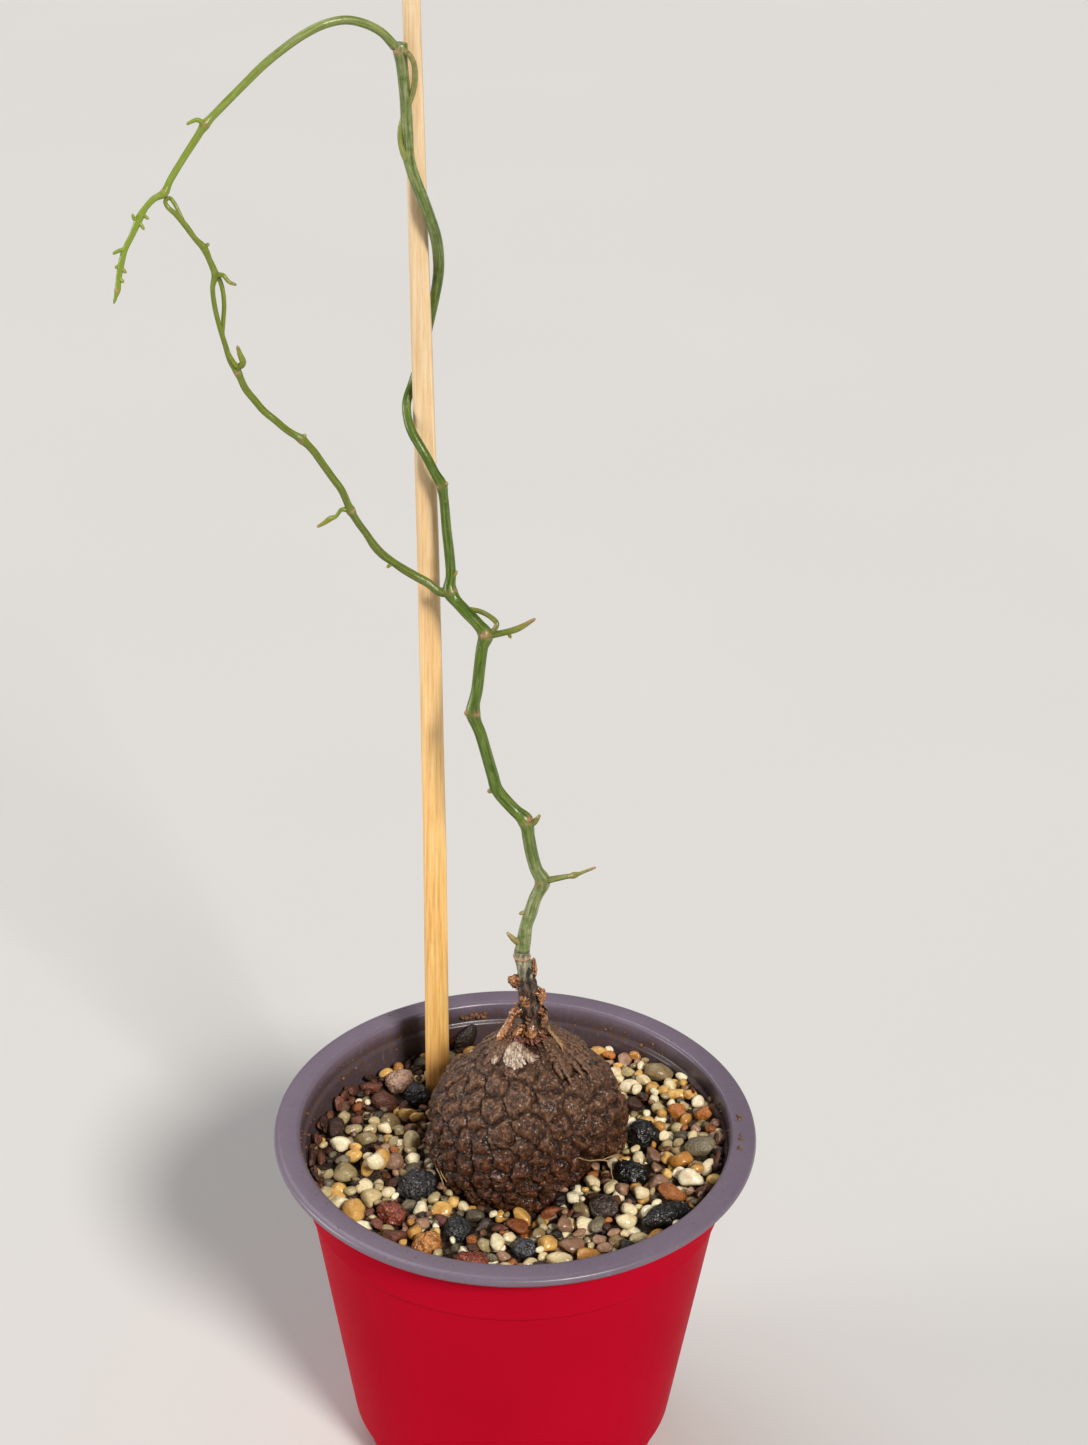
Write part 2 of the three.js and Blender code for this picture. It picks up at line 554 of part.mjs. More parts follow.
// Arching shoot: leaves the top node, arches to the left and ends in soft young growth
const ARCH_LINE = [
  [-28.9, 32.3, 352.4, 1.05], [-31.8, 31, 355.8, 0.95], [-35.5, 30, 357.8, 0.95], [-39.2, 29, 358.6, 0.95],
  [-43.4, 27.5, 358, 0.95], [-47.6, 26, 356.2, 0.95], [-51.8, 24, 353.6, 0.9], [-56, 22, 350.5, 0.9],
  [-60.2, 20, 346.7, 0.85], [-64.4, 18, 342.8, 0.85], [-68.1, 16, 339.2, 1.1], [-69.9, 15, 336.6, 0.8],
  [-72.9, 13, 332.3, 0.75], [-75.4, 11, 328.4, 0.75], [-76.5, 10, 326.2, 0.95], [-78.6, 9, 325.2, 0.7],
  [-80.4, 8, 323.4, 0.65], [-81.5, 7.5, 321.7, 0.85], [-83.2, 6.5, 318.1, 0.65], [-84.8, 5.5, 315.1, 0.65],
  [-85.7, 5, 312, 0.7], [-86.3, 4.4, 309, 0.6], [-86.6, 4, 306.8, 0.7], [-87.5, 3.5, 303.9, 0.3],
];

const ARCH_SPIKES = [
  [[-68, 16, 339.2, 0.7], [-69.6, 15.4, 340.4, 0.5], [-71.8, 14.8, 339.6, 0.3]],
  [[-81.3, 7.6, 321.8, 0.5], [-82.6, 7, 321.4, 0.45], [-82.9, 6.6, 322.6, 0.3]],
  [[-81, 7.6, 322.2, 0.5], [-79.6, 7, 321.4, 0.3]],
  [[-81.8, 7.2, 320.8, 0.5], [-80.6, 6.6, 319.2, 0.3]],
  [[-84.6, 5.6, 315.3, 0.5], [-86, 5.2, 315, 0.45], [-87.3, 4.8, 314.4, 0.3]],
  [[-85.6, 5, 312, 0.5], [-87, 4.6, 311.4, 0.35]],
  [[-85.8, 4.9, 311.4, 0.5], [-84.6, 4.4, 310.4, 0.35]],
  [[-86.3, 4.4, 309.4, 0.5], [-85.2, 4, 308.4, 0.35]],
];

// Side branch: climbs to the arching shoot, bends over just below it and twines back down itself
const BRANCH_LINE = [
  [-17.4, 24.6, 227.8, 1.25], [-19.6, 24.6, 228, 1.05], [-22, 25.2, 229.7, 1.05], [-25, 25.4, 231.4, 1.05],
  [-28, 25, 233.5, 1], [-30.2, 24, 235.6, 0.9], [-32.4, 23, 237.8, 1], [-34.3, 22, 240.5, 1],
  [-36.1, 21, 244, 0.85], [-37.8, 20, 247.1, 0.85], [-39.4, 19, 250.6, 1.15], [-41.3, 18, 256, 0.85],
  [-43.1, 17.5, 259, 0.85], [-45.2, 17, 262.5, 0.85], [-47.3, 16.5, 266, 0.85], [-49.6, 16, 268.7, 1.1],
  [-52.9, 15.5, 271.2, 0.8], [-55.3, 15, 273.6, 0.8], [-57.8, 15, 275.8, 0.8], [-59.7, 14.5, 278.5, 0.8],
  [-61.6, 14, 281.4, 0.8], [-63.1, 13.5, 285.4, 0.95], [-64.4, 13, 287.8, 0.65], [-65.4, 12.4, 292, 0.6],
  [-66.6, 12.2, 297, 0.55], [-67.3, 12.2, 301, 0.55], [-67.5, 12.1, 305, 0.55], [-66.9, 12, 307.8, 0.75],
  [-67.8, 11.5, 311.2, 0.65], [-68.9, 11, 314.2, 0.8], [-70.5, 10.5, 316.2, 0.6], [-72.2, 10, 319, 0.65],
  [-74.3, 9.2, 322, 0.55], [-75.7, 8.8, 323.5, 0.5], [-76.3, 9.4, 324.4, 0.45], [-76.2, 10.9, 324.6, 0.45],
  [-75.6, 12.2, 324.4, 0.45], [-74.6, 11.8, 323.2, 0.45], [-73.4, 10.8, 321, 0.45], [-71.8, 10.2, 318, 0.5],
  [-69.6, 10.4, 315.4, 0.5], [-68, 11.4, 312, 0.5], [-66.8, 12.6, 308.6, 0.5], [-65.6, 12.8, 305, 0.5],
  [-65.3, 13, 301, 0.5], [-65.7, 13.2, 297, 0.5], [-65.9, 12.8, 293.5, 0.5], [-64.6, 12.4, 289.6, 0.5],
  [-62.9, 12.6, 286.6, 0.55],
];

const BRANCH_SPIKES = [
  [[-39.4, 19, 250.6, 0.8], [-41.4, 18.2, 251, 0.5], [-42.6, 17.7, 249.6, 0.45], [-43.9, 17.2, 249.2, 0.65],
    [-45.3, 16.7, 248.3, 0.5], [-46.9, 16.2, 247.5, 0.3]],
  [[-49.6, 16, 268.7, 0.7], [-48.8, 15.6, 270.2, 0.4]],
  [[-30.2, 24, 235.6, 0.6], [-31.6, 23, 234.6, 0.35]],
  [[-63, 13.2, 286.4, 0.7], [-61.7, 12.4, 287.8, 0.75], [-62.2, 12, 290, 0.6], [-62.7, 11.8, 292, 0.3]],
  [[-66.6, 12, 307.8, 0.6], [-65.1, 11.6, 307.9, 0.5], [-63.8, 11.2, 306.6, 0.45], [-62.2, 11, 306, 0.3]],
  [[-68.8, 11, 314.2, 0.5], [-67.6, 10.6, 315.2, 0.35]],
];

// Assembly
const plant = new THREE.Group();

function addPart(name, solid, colour, roughness) {
  const material = new THREE.MeshStandardMaterial({ color: colour, roughness, metalness: 0 });
  const mesh = new THREE.Mesh(solid instanceof THREE.BufferGeometry ? solid : geometryOf(solid), material);
  mesh.name = name;
  plant.add(mesh);
}

// A stem with its side shoots and spikes, grown as one, thicker all over by `extra`
function shoot(line, sides, spikes, spikeSides, extra = 0) {
  return union([stem(line, sides, extra), ...spikes.map((spike) => stem(spike, spikeSides, extra))]);
}

const socketRadius = STEM_FOOT.radius + GAP;
const stemSocket = solidOf(new THREE.CylinderGeometry(socketRadius, socketRadius, STEM_SOCKET_HEIGHT, 10)
  .rotateX(Math.PI / 2)
  .translate(STEM_FOOT.x, STEM_FOOT.y, STEM_FOOT.z - GAP + STEM_SOCKET_HEIGHT / 2));
const seat = caudexSeat();
const stakeHole = stakeBody(GAP);
const stoneSockets = union(Object.values(STONES).map((stone) => stoneBody(stone, GAP + 0.1)));
const soil = soilBody().subtract(seat).subtract(roots(GAP)).subtract(stakeHole);
const gravel = gravelBed().subtract(seat).subtract(stakeHole).subtract(stoneSockets);
const barkScales = union(BARK_SCALES.map(({ line, facing }) => barkScale(line, ...facing)));
const woodyBase = largestBody(stem(WOODY_LINE, 8).add(barkScales.subtract(seat)));
const mainClearance = shoot(MAIN_LINE, 8, MAIN_SPIKES, 5, GAP);

addPart('pot', turned([...POT_OUTSIDE, ...POT_INSIDE]), 0xb8102e, 0.45);
addPart('soil', largestBody(soil), 0x3b2b20, 0.95);
addPart('gravel', largestBody(gravel), 0xa39a85, 0.8);
addPart('caudex', caudexBody().add(roots(0)).subtract(stemSocket), 0x55443e, 0.85);
addPart('woody_base', geometryOf(woodyBase, SMALLEST_BARK_EDGE), 0x4d3a2e, 0.9);
addPart('main_stem', shoot(MAIN_LINE, 8, MAIN_SPIKES, 5), 0x4c7a35, 0.5);
addPart('arching_shoot', shoot(ARCH_LINE, 6, ARCH_SPIKES, 4).subtract(mainClearance), 0x7d9a4c, 0.5);
addPart('side_branch', shoot(BRANCH_LINE, 6, BRANCH_SPIKES, 4).subtract(mainClearance), 0x668a3f, 0.5);
addPart('stake', stakeBody(0), 0xd9b27c, 0.6);
Object.entries(STONES).forEach(([name, stone]) => {
  addPart(name, stoneBody(stone, 0), stone.colour, 0.9);
});

export default plant;
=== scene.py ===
# Potted hottentot bread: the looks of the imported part.
# Shapes are worked out in millimetres in the part's own frame and stored in metres.
import json
import math
from collections import namedtuple

import bpy
import numpy as np
from mathutils import Matrix, Vector, noise
from mathutils.bvhtree import BVHTree


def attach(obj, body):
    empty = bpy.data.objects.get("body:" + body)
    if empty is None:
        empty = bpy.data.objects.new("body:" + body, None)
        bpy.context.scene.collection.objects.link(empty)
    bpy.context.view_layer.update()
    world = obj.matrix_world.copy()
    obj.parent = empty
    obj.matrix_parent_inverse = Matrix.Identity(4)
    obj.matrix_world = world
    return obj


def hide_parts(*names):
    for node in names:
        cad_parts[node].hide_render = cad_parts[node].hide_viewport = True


MM = 0.001
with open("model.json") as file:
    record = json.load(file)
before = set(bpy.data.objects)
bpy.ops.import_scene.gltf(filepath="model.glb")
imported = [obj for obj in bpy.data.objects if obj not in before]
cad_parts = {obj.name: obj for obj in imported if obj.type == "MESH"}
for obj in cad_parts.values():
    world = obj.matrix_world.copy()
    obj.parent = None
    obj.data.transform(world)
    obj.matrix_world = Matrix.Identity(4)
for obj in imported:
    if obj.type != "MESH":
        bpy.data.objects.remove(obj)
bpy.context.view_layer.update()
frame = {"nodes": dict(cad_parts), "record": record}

# Camera, fitted to the photograph: place in mm, downward pitch, roll and focal length in pixels
CAMERA_PLACE = (5.4, -525.4, 484.9)
CAMERA_PITCH = math.radians(27.88)
CAMERA_ROLL = math.radians(1.0)
FOCAL_PIXELS = 2600
IMAGE_HEIGHT = 1445
SENSOR = 36

# Sizes that the part's solids share, in mm
CAUDEX_CENTRE = np.array([2.6, 2.0, 91.5])
CAUDEX_RADIUS = 23.4
CAUDEX_RISE = 26.6
CAUDEX_DEPTH = 19.0
PLATE_LIFT = 1.4
CORK_SCALE = 24
GRAVEL_GROOVE_Z = 82.2
GRAVEL_SLOPE_Y = 0.012
GRAVEL_BANK = 5.6
POT_OUTSIDE = [
    (0, 0), (36.9, 0), (38.0, 1.0), (38.4, 2.4), (39.8, 6.5), (41.4, 10), (51.3, 75), (52.1, 75.8),
    (53.3, 91.2), (59.2, 91.6),
]
POT_INSIDE = [
    (59.2, 91.6), (60, 92.5), (59.6, 93.6), (58.6, 94), (54.1, 94), (53.4, 93.4), (53.1, 88.9),
    (52.2, 88.2), (51.1, 76), (50.3, 75.2), (40.4, 10.3), (38.8, 6.8), (37.4, 2.6), (36.6, 1.2), (0, 1.2),
]


# Small helpers
def own_colour(colour):
    """A colour as seen on a screen, 0 to 255, in Blender's own values; sockets pass as they are"""
    if not isinstance(colour, tuple):
        return colour
    levels = [level / 255 for level in colour]
    return (*[v / 12.92 if v < 0.04045 else ((v + 0.055) / 1.055) ** 2.4 for v in levels], 1.0)


def darker(colour, *shares):
    """A colour with its red, green and blue taken down, each by its own share or all by one"""
    return tuple(level * share for level, share in zip(colour, shares * (3 // len(shares))))


def smoothstep(value, low, high):
    t = np.clip((value - low) / (high - low), 0, 1)
    return t * t * (3 - 2 * t)


def random_stream(seed):
    """The same repeatable numbers from 0 to 1 as the part's source uses"""
    state = seed
    while True:
        state = (state * 1664525 + 1013904223) % 4294967296
        yield state / 4294967296


def unit(vectors):
    return vectors / np.linalg.norm(vectors, axis=-1, keepdims=True)


def around(sides):
    return 2 * np.pi * np.arange(sides) / sides


def circle_at(radius, z, angles):
    """Points round the part's upright axis"""
    return np.stack([radius * np.cos(angles), radius * np.sin(angles), np.full(len(angles), z)], 1)


def in_turned_frame(dx, dy, turn):
    """Offsets in x and y, measured along axes that are turned by that angle"""
    return dx * math.cos(turn) + dy * math.sin(turn), dy * math.cos(turn) - dx * math.sin(turn)


def new_object(name, data):
    made = bpy.data.objects.new(name, data)
    bpy.context.scene.collection.objects.link(made)
    return made


def noise_at(points, size, seed=0.0, octaves=1):
    """Smooth noise from -1 to 1 at each point, with features of the given size"""
    shifted = np.asarray(points) / size + seed
    if octaves == 1:
        return np.array([noise.noise(Vector(p)) for p in shifted])
    return np.array([noise.fractal(Vector(p), 0.9, 2.0, octaves) for p in shifted])


def between(t, start, end, first, second):
    """From the first value at start to the second at end"""
    return (end - t) / (end - start) * first + (t - start) / (end - start) * second


def spline(stations, spacing):
    """Stations joined by a smooth curve and sampled again at an even spacing"""
    knots = np.array(stations, float)
    first = 2 * knots[0] - knots[1]
    last = 2 * knots[-1] - knots[-2]
    ends = np.vstack([first, knots, last])
    steps = np.linalg.norm(np.diff(ends[:, :3], axis=0), axis=1) ** 0.5
    times = np.concatenate([[0], np.cumsum(steps)])
    samples = []
    for i in range(1, len(ends) - 2):
        p0, p1, p2, p3 = ends[i - 1:i + 3]
        t0, t1, t2, t3 = times[i - 1:i + 3]
        length = np.linalg.norm(p2[:3] - p1[:3])
        count = max(2, round(length / spacing))
        t = np.linspace(t1, t2, count, endpoint=False)[:, None]
        a1 = between(t, t0, t1, p0, p1)
        a2 = between(t, t1, t2, p1, p2)
        a3 = between(t, t2, t3, p2, p3)
        b1 = between(t, t0, t2, a1, a2)
        b2 = between(t, t1, t3, a2, a3)
        samples.append(between(t, t1, t2, b1, b2))
    return np.vstack([*samples, knots[-1:]])


class Shape:
    """Points in mm, faces, and values painted on the points, gathered for one mesh"""

    def __init__(self):
        self.points = []
        self.faces = []
        self.paint = {}
        self.count = 0

    def add(self, points, faces, **paint):
        points = np.asarray(points, float).reshape(-1, 3)
        self.faces.append(np.asarray(faces) + self.count)
        self.points.append(points)
        for name, values in paint.items():
            held = self.paint.setdefault(name, [])
            missing = self.count - sum(len(part) for part in held)
            held.append(np.zeros(missing))
            held.append(np.broadcast_to(np.asarray(values, float), len(points)))
        self.count += len(points)

    def piece(self, name, slot, materials, stands_for=()):
        """A smooth-shaded object of the one body, which replaces the nodes that it stands for"""
        mesh = bpy.data.meshes.new(name)
        faces = [face for part in self.faces for face in part.tolist()]
        faces = [face[:3] if len(face) == 4 and face[3] == face[2] else face for face in faces]
        mesh.from_pydata((np.vstack(self.points) * MM).tolist(), [], faces)
        for key, held in self.paint.items():
            values = np.concatenate(held)
            values = np.concatenate([values, np.zeros(self.count - len(values))])
            mesh.attributes.new(key, "FLOAT", "POINT").data.foreach_set("value", values)
        mesh.polygons.foreach_set("use_smooth", [True] * len(mesh.polygons))
        for material in materials:
            mesh.materials.append(material)
        made = new_object(name, mesh)
        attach(made, "root")
        if stands_for:
            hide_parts(*stands_for)
        return made


def grid_faces(rows, columns):
    """Quads between rows of points, where each row closes on itself"""
    row, column = np.meshgrid(np.arange(rows - 1), np.arange(columns), indexing="ij")
    beside = (column + 1) % columns
    corners = [row * columns + column, row * columns + beside,
               (row + 1) * columns + beside, (row + 1) * columns + column]
    return np.stack(corners, -1).reshape(-1, 4)


def capped_tube(rings):
    """Points and faces of closed rings, with a fan of triangles over each end"""
    rings = np.asarray(rings)
    rows, columns = rings.shape[:2]
    points = np.vstack([rings.reshape(-1, 3), rings[0].mean(0), rings[-1].mean(0)])
    near, far = rows * columns, rows * columns + 1
    here = np.arange(columns)
    beside = (here + 1) % columns
    start = np.stack([beside, here, np.full(columns, near), np.full(columns, near)], 1)
    base = (rows - 1) * columns
    end = np.stack([base + here, base + beside, np.full(columns, far), np.full(columns, far)], 1)
    return points, np.vstack([grid_faces(rows, columns), start, end])


def ball(squares):
    """Directions and faces of a cube with that many squares along a side, blown up to a sphere"""
    steps = np.tan(np.pi / 4 * np.linspace(-1, 1, squares + 1))
    u, v = np.meshgrid(steps, steps, indexing="ij")
    one = np.ones_like(u)
    sides = [(one, u, v), (-one, v, u), (v, one, u), (u, -one, v), (u, v, one), (v, u, -one)]
    points = unit(np.stack([np.stack(side, -1) for side in sides]).reshape(-1, 3))
    kept, index = np.unique(np.round(points, 5), axis=0, return_inverse=True)
    number = index.reshape(6, squares + 1, squares + 1)
    faces = np.stack([number[:, :-1, :-1], number[:, 1:, :-1], number[:, 1:, 1:], number[:, :-1, 1:]], -1)
    return unit(kept), faces.reshape(-1, 4)


def stone_radius(directions, random, planes, softness, depths):
    """How far a rounded stone reaches in each direction: a ball worn flat on random sides"""
    normals = unit(random.normal(size=(planes, 3)))
    along = np.maximum(directions @ normals.T, 0.02)
    cuts = random.uniform(*depths, planes) / along
    cuts = np.hstack([cuts, np.ones((len(directions), 1))])
    return -softness * np.log(np.exp(-cuts / softness).sum(1))


# Material helpers
class Finish:
    """One material's nodes, with the place on the part in mm as the starting point"""

    def __init__(self, name, roughness, specular=0.5):
        self.material = bpy.data.materials.new(name)
        self.material.use_nodes = True
        self.tree = self.material.node_tree
        self.shader = self.tree.nodes["Principled BSDF"]
        self.shader.inputs["Roughness"].default_value = roughness
        self.shader.inputs["Specular IOR Level"].default_value = specular
        coordinates = self.tree.nodes.new("ShaderNodeTexCoord")
        self.place = self.stretched((1000, 1000, 1000), coordinates.outputs["Object"])

    def put(self, kind, settings=(), **inputs):
        node = self.tree.nodes.new(kind)
        for key, value in dict(settings).items():
            setattr(node, key, value)
        for key, value in inputs.items():
            socket = node.inputs[int(key[1:])] if key[1:].isdigit() else node.inputs[key.replace("_", " ")]
            if isinstance(value, bpy.types.NodeSocket):
                self.tree.links.new(value, socket)
            else:
                socket.default_value = value
        return node

    def stretched(self, factors, vector=None):
        source = vector or self.place
        return self.put("ShaderNodeVectorMath", {"operation": "MULTIPLY"}, i0=source, i1=factors).outputs[0]

    def noise(self, size, detail=3.0, roughness=0.55, vector=None):
        return self.put("ShaderNodeTexNoise", Vector=vector or self.place, Scale=1 / size, Detail=detail,
                        Roughness=roughness).outputs["Fac"]

    def cells(self, size):
        return self.put("ShaderNodeTexVoronoi", Vector=self.place, Scale=1 / size).outputs["Distance"]

    def painted(self, name):
        return self.put("ShaderNodeAttribute", {"attribute_name": name}).outputs["Fac"]

    def ramp(self, value, *stops):
        node = self.put("ShaderNodeValToRGB", i0=value)
        steps = node.color_ramp.elements
        while len(steps) < len(stops):
            steps.new(0.5)
        for step, (position, colour) in zip(steps, stops):
            step.position = position
            step.color = own_colour(colour) if isinstance(colour, tuple) else (colour, colour, colour, 1)
        return node.outputs["Color"]

    def mix(self, share, first, second):
        ends = {"i6": own_colour(first), "i7": own_colour(second)}
        return self.put("ShaderNodeMix", {"data_type": "RGBA"}, i0=share, **ends).outputs[2]

    def sum(self, operation, first, second):
        return self.put("ShaderNodeMath", {"operation": operation}, i0=first, i1=second).outputs[0]

    def times(self, first, second):
        return self.sum("MULTIPLY", first, second)

    def plus(self, first, second):
        return self.sum("ADD", first, second)

    def band(self, value, low, high):
        """0 below low and 1 above high, smoothly"""
        settings = {"interpolation_type": "SMOOTHSTEP"}
        return self.put("ShaderNodeMapRange", settings, i0=value, i1=low, i2=high).outputs[0]

    def height(self):
        return self.put("ShaderNodeSeparateXYZ", i0=self.place).outputs["Z"]

    def each(self):
        """A random value from 0 to 1 for every loose body of the mesh"""
        return self.put("ShaderNodeNewGeometry").outputs["Random Per Island"]

    def colour(self, value):
        self.tree.links.new(value, self.shader.inputs["Base Color"])

    def gloss(self, value, low, high):
        spread = self.put("ShaderNodeMapRange", i0=value, i3=low, i4=high).outputs[0]
        self.tree.links.new(spread, self.shader.inputs["Roughness"])

    def relief(self, *layers):
        """Bumps of (height from 0 to 1, size in mm), laid one on another"""
        normal = None
        for height, depth in layers:
            inputs = {"Height": height, "Distance": depth * MM}
            if normal is not None:
                inputs["Normal"] = normal
            normal = self.put("ShaderNodeBump", **inputs).outputs["Normal"]
        self.tree.links.new(normal, self.shader.inputs["Normal"])


# Finishes
def pot_red():
    made = Finish("pot_red", 0.4, 0.003)
    base = made.mix(made.noise(38, 2), (163, 8, 31), (176, 11, 38))
    scuff = made.ramp(made.noise(1.4, 5, 0.7, made.stretched((1, 1, 0.5))), (0.66, 0.0), (0.8, 0.08))
    made.colour(made.mix(scuff, base, (200, 24, 46)))
    made.gloss(made.noise(7, 4), 0.3, 0.42)
    drawn = made.noise(2.2, 2, vector=made.stretched((1, 1, 0.1)))
    made.relief((drawn, 0.02), (made.noise(0.5, 2), 0.008))
    return made.material


def pot_grey():
    made = Finish("pot_grey", 0.34, 0.5)
    base = made.mix(made.noise(20, 3), (96, 84, 98), (112, 99, 114))
    # Painted shade: the inner wall is darkened more the further it lies below the rim; the same band also
    # makes the dust stronger further down
    low = made.band(made.height(), 93.4, 89.5)
    base = made.mix(made.times(low, 0.7), base, (42, 32, 35))
    rub = made.ramp(made.noise(0.9, 5, 0.75, made.stretched((1, 1, 0.4))), (0.55, 0.0), (0.72, 0.35))
    base = made.mix(rub, base, (136, 124, 136))
    dust = made.ramp(made.noise(1.3, 5, 0.65), (0.46, 0.0), (0.62, 1.0))
    dust = made.times(dust, made.plus(made.times(low, 0.8), 0.08))
    base = made.mix(dust, base, (80, 57, 42))
    speck = made.ramp(made.noise(0.45, 2), (0.72, 0.0), (0.76, 0.8))
    made.colour(made.mix(speck, base, (72, 50, 38)))
    made.gloss(made.noise(3, 5, 0.7), 0.2, 0.46)
    made.relief((made.noise(3.0, 2), 0.03), (made.noise(0.5, 4, 0.7), 0.03))
    return made.material


def potting_mix():
    made = Finish("potting_mix", 0.9, 0.2)
    made.colour(made.ramp(made.noise(1.6, 5, 0.7), (0.35, (30, 21, 15)), (0.7, (74, 53, 38))))
    made.relief((made.cells(1.4), 0.5), (made.noise(0.6, 4), 0.2))
    return made.material


def pebble(name, dark, light, roughness, grain, pits):
    """A family of pebbles: each one differs in shade, and carries fine grain or pits"""
    made = Finish(name, roughness)
    rugged = pits >= ROUGH_PITS
    each = made.each()
    cloud = made.noise(1.7, 4, 0.65)
    shade = made.plus(made.times(each, 0.7), made.times(cloud, 0.4))
    base = made.ramp(shade, (0.14, dark), (1.0, light))
    stain = made.ramp(made.noise(2.6, 4, 0.7), (0.5, 0.0), (0.66, 0.45))
    base = made.mix(stain, base, darker(dark, 0.95, 0.72, 0.5))
    speck = made.ramp(made.noise(grain, 4, 0.7), (0.36, 0.6 if rugged else 0.2), (0.52, 0.0))
    made.colour(made.mix(speck, base, darker(dark, 0.4)))
    made.gloss(made.noise(1.2, 3), roughness - 0.12, roughness + 0.14)
    bumps = made.noise(1.0, 5, 0.6) if rugged else made.noise(1.3, 2, 0.5)
    made.relief((bumps, 0.45 if rugged else 0.22), (made.cells(grain * 1.6), pits))
    return made.material


def rock(name, dark, light, roughness, pit_size, pit_depth):
    made = Finish(name, roughness, 0.5)
    patches = made.noise(1.6, 5, 0.7)
    base = made.ramp(patches, (0.34, dark), (0.68, light))
    pits = made.cells(pit_size)
    # Painted shade in the pits: their middles are darkened
    hole = made.ramp(pits, (0.12, 1.0), (0.4, 0.0))
    made.colour(made.mix(made.times(hole, 0.75), base, darker(dark, 0.35)))
    made.gloss(made.noise(0.9, 3), roughness - 0.3, roughness + 0.05)
    made.relief((made.noise(1.2, 2, 0.5), 0.6), (pits, pit_depth * 0.7))
    return made.material


def cork():
    """Corky bark: painted shade in its furrows and cracks, pale on its ridges from wear and painted
    highlight, glossy, darker and warmer brown low down
    """
    made = Finish("cork", 0.3, 0.42)
    ridge = made.painted("ridge")
    streaks = made.noise(1.9, 5, 0.6, made.stretched((1, 1, 0.7)))
    wrinkle = made.ramp(made.noise(1.5, 3, 0.6), (0.44, 0.0), (0.5, 1.0), (0.56, 0.0))
    warm = made.band(made.height(), 113.0, 94.0)
    upper = made.ramp(streaks, (0.36, (52, 31, 21)), (0.5, (75, 48, 33)), (0.64, (100, 67, 46)))
    lower = made.ramp(streaks, (0.36, (32, 14, 6)), (0.5, (51, 24, 10)), (0.64, (78, 40, 17)))
    base = made.mix(warm, upper, lower)
    # Ridges paler, partly from wear and partly as painted highlight
    wear_and_highlight = made.mix(warm, (150, 112, 82), (124, 72, 37))
    base = made.mix(made.ramp(ridge, (0.62, 0.0), (1.0, 0.4)), base, wear_and_highlight)
    # Painted shade: where the cork sinks below its surroundings, the furrows are darkened
    base = made.mix(made.ramp(ridge, (0.0, 0.6), (0.3, 0.0)), base, (34, 19, 12))
    # Pale flecks: partly tan flecks of the bark, partly painted glints
    tan_fleck_and_glint = made.ramp(made.noise(0.55, 3, 0.6), (0.63, 0.0), (0.68, 0.7))
    base = made.mix(tan_fleck_and_glint, base, (190, 152, 112))
    # Painted shade: the cracks and seams are darkened
    made.colour(made.mix(made.times(made.painted("crack"), 0.6), base, (24, 13, 8)))
    made.gloss(made.noise(0.9, 3, 0.6), 0.22, 0.5)
    folds = made.noise(1.5, 1.5, 0.5, made.stretched((1, 1, 0.7)))
    made.relief((folds, 0.8), (wrinkle, 0.16), (made.noise(0.6, 1.0), 0.16))
    return made.material


def bark_strip():
    """Long torn strips of old bark over the crown"""
    made = Finish("bark_strip", 0.45, 0.5)
    each = made.each()
    fibres = made.noise(0.7, 5, 0.65, made.stretched((1.2, 1.2, 0.6)))
    dull = made.ramp(fibres, (0.32, (46, 28, 18)), (0.5, (92, 62, 42)), (0.7, (142, 102, 70)))
    golden = made.ramp(fibres, (0.3, (64, 41, 27)), (0.5, (108, 76, 52)), (0.75, (162, 122, 84)))
    made.colour(made.mix(made.ramp(each, (0.6, 0.0), (1.0, 1.0)), dull, golden))
    made.gloss(fibres, 0.2, 0.45)
    made.relief((fibres, 0.3))
    return made.material


def torn_skin():
    made = Finish("torn_skin", 0.3, 0.7)
    fibres = made.noise(0.6, 5, 0.65, made.stretched((1.7, 0.25, 0.3)))
    # Painted shade: dark patches stand for the shade in the folds
    folds = made.ramp(made.noise(1.1, 4, 0.65), (0.36, 0.8), (0.46, 0.0))
    each = made.each()
    dull = made.ramp(fibres, (0.32, (74, 50, 36)), (0.5, (138, 108, 84)),
                     (0.7, (190, 164, 138)))
    # The bright strands are silvery, with their palest tone partly a painted highlight
    bright = made.ramp(fibres, (0.32, (98, 72, 54)), (0.46, (182, 158, 134)),
                       (0.62, (244, 232, 216)))
    base = made.mix(each, dull, bright)
    made.colour(made.mix(folds, base, (84, 56, 40)))
    made.gloss(fibres, 0.2, 0.45)
    made.relief((fibres, 0.35), (made.noise(0.9, 3), 0.3))
    return made.material


def old_bark():
    made = Finish("old_bark", 0.6, 0.4)
    length = made.noise(0.8, 5, 0.65, made.stretched((1, 1, 0.22)))
    base = made.ramp(length, (0.36, (14, 10, 8)), (0.5, (54, 38, 28)), (0.68, (132, 102, 78)))
    grey = made.ramp(made.noise(1.6, 3), (0.52, 0.0), (0.6, 1.0))
    base = made.mix(made.times(grey, 0.7), base, (70, 66, 62))
    top = made.band(made.height(), 134.6, 136.2)
    green = made.ramp(length, (0.34, (64, 62, 48)), (0.5, (118, 115, 92)),
                      (0.64, (172, 166, 142)))
    base = made.mix(top, base, green)
    spot = made.ramp(made.noise(1.9, 2, 0.5, made.stretched((1, 1, 0.5))), (0.54, 0.0), (0.58, 0.9))
    base = made.mix(made.times(spot, top), base, (26, 25, 23))
    rust = made.ramp(made.noise(1.6, 3), (0.58, 0.0), (0.66, 0.7))
    rust = made.times(rust, made.sum("SUBTRACT", 1.0, top))
    base = made.mix(rust, base, (122, 66, 40))
    made.colour(made.mix(made.painted("dry"), base, (176, 136, 98)))
    made.gloss(length, 0.4, 0.7)
    made.relief((length, 0.4), (made.noise(0.4, 4), 0.14))
    return made.material


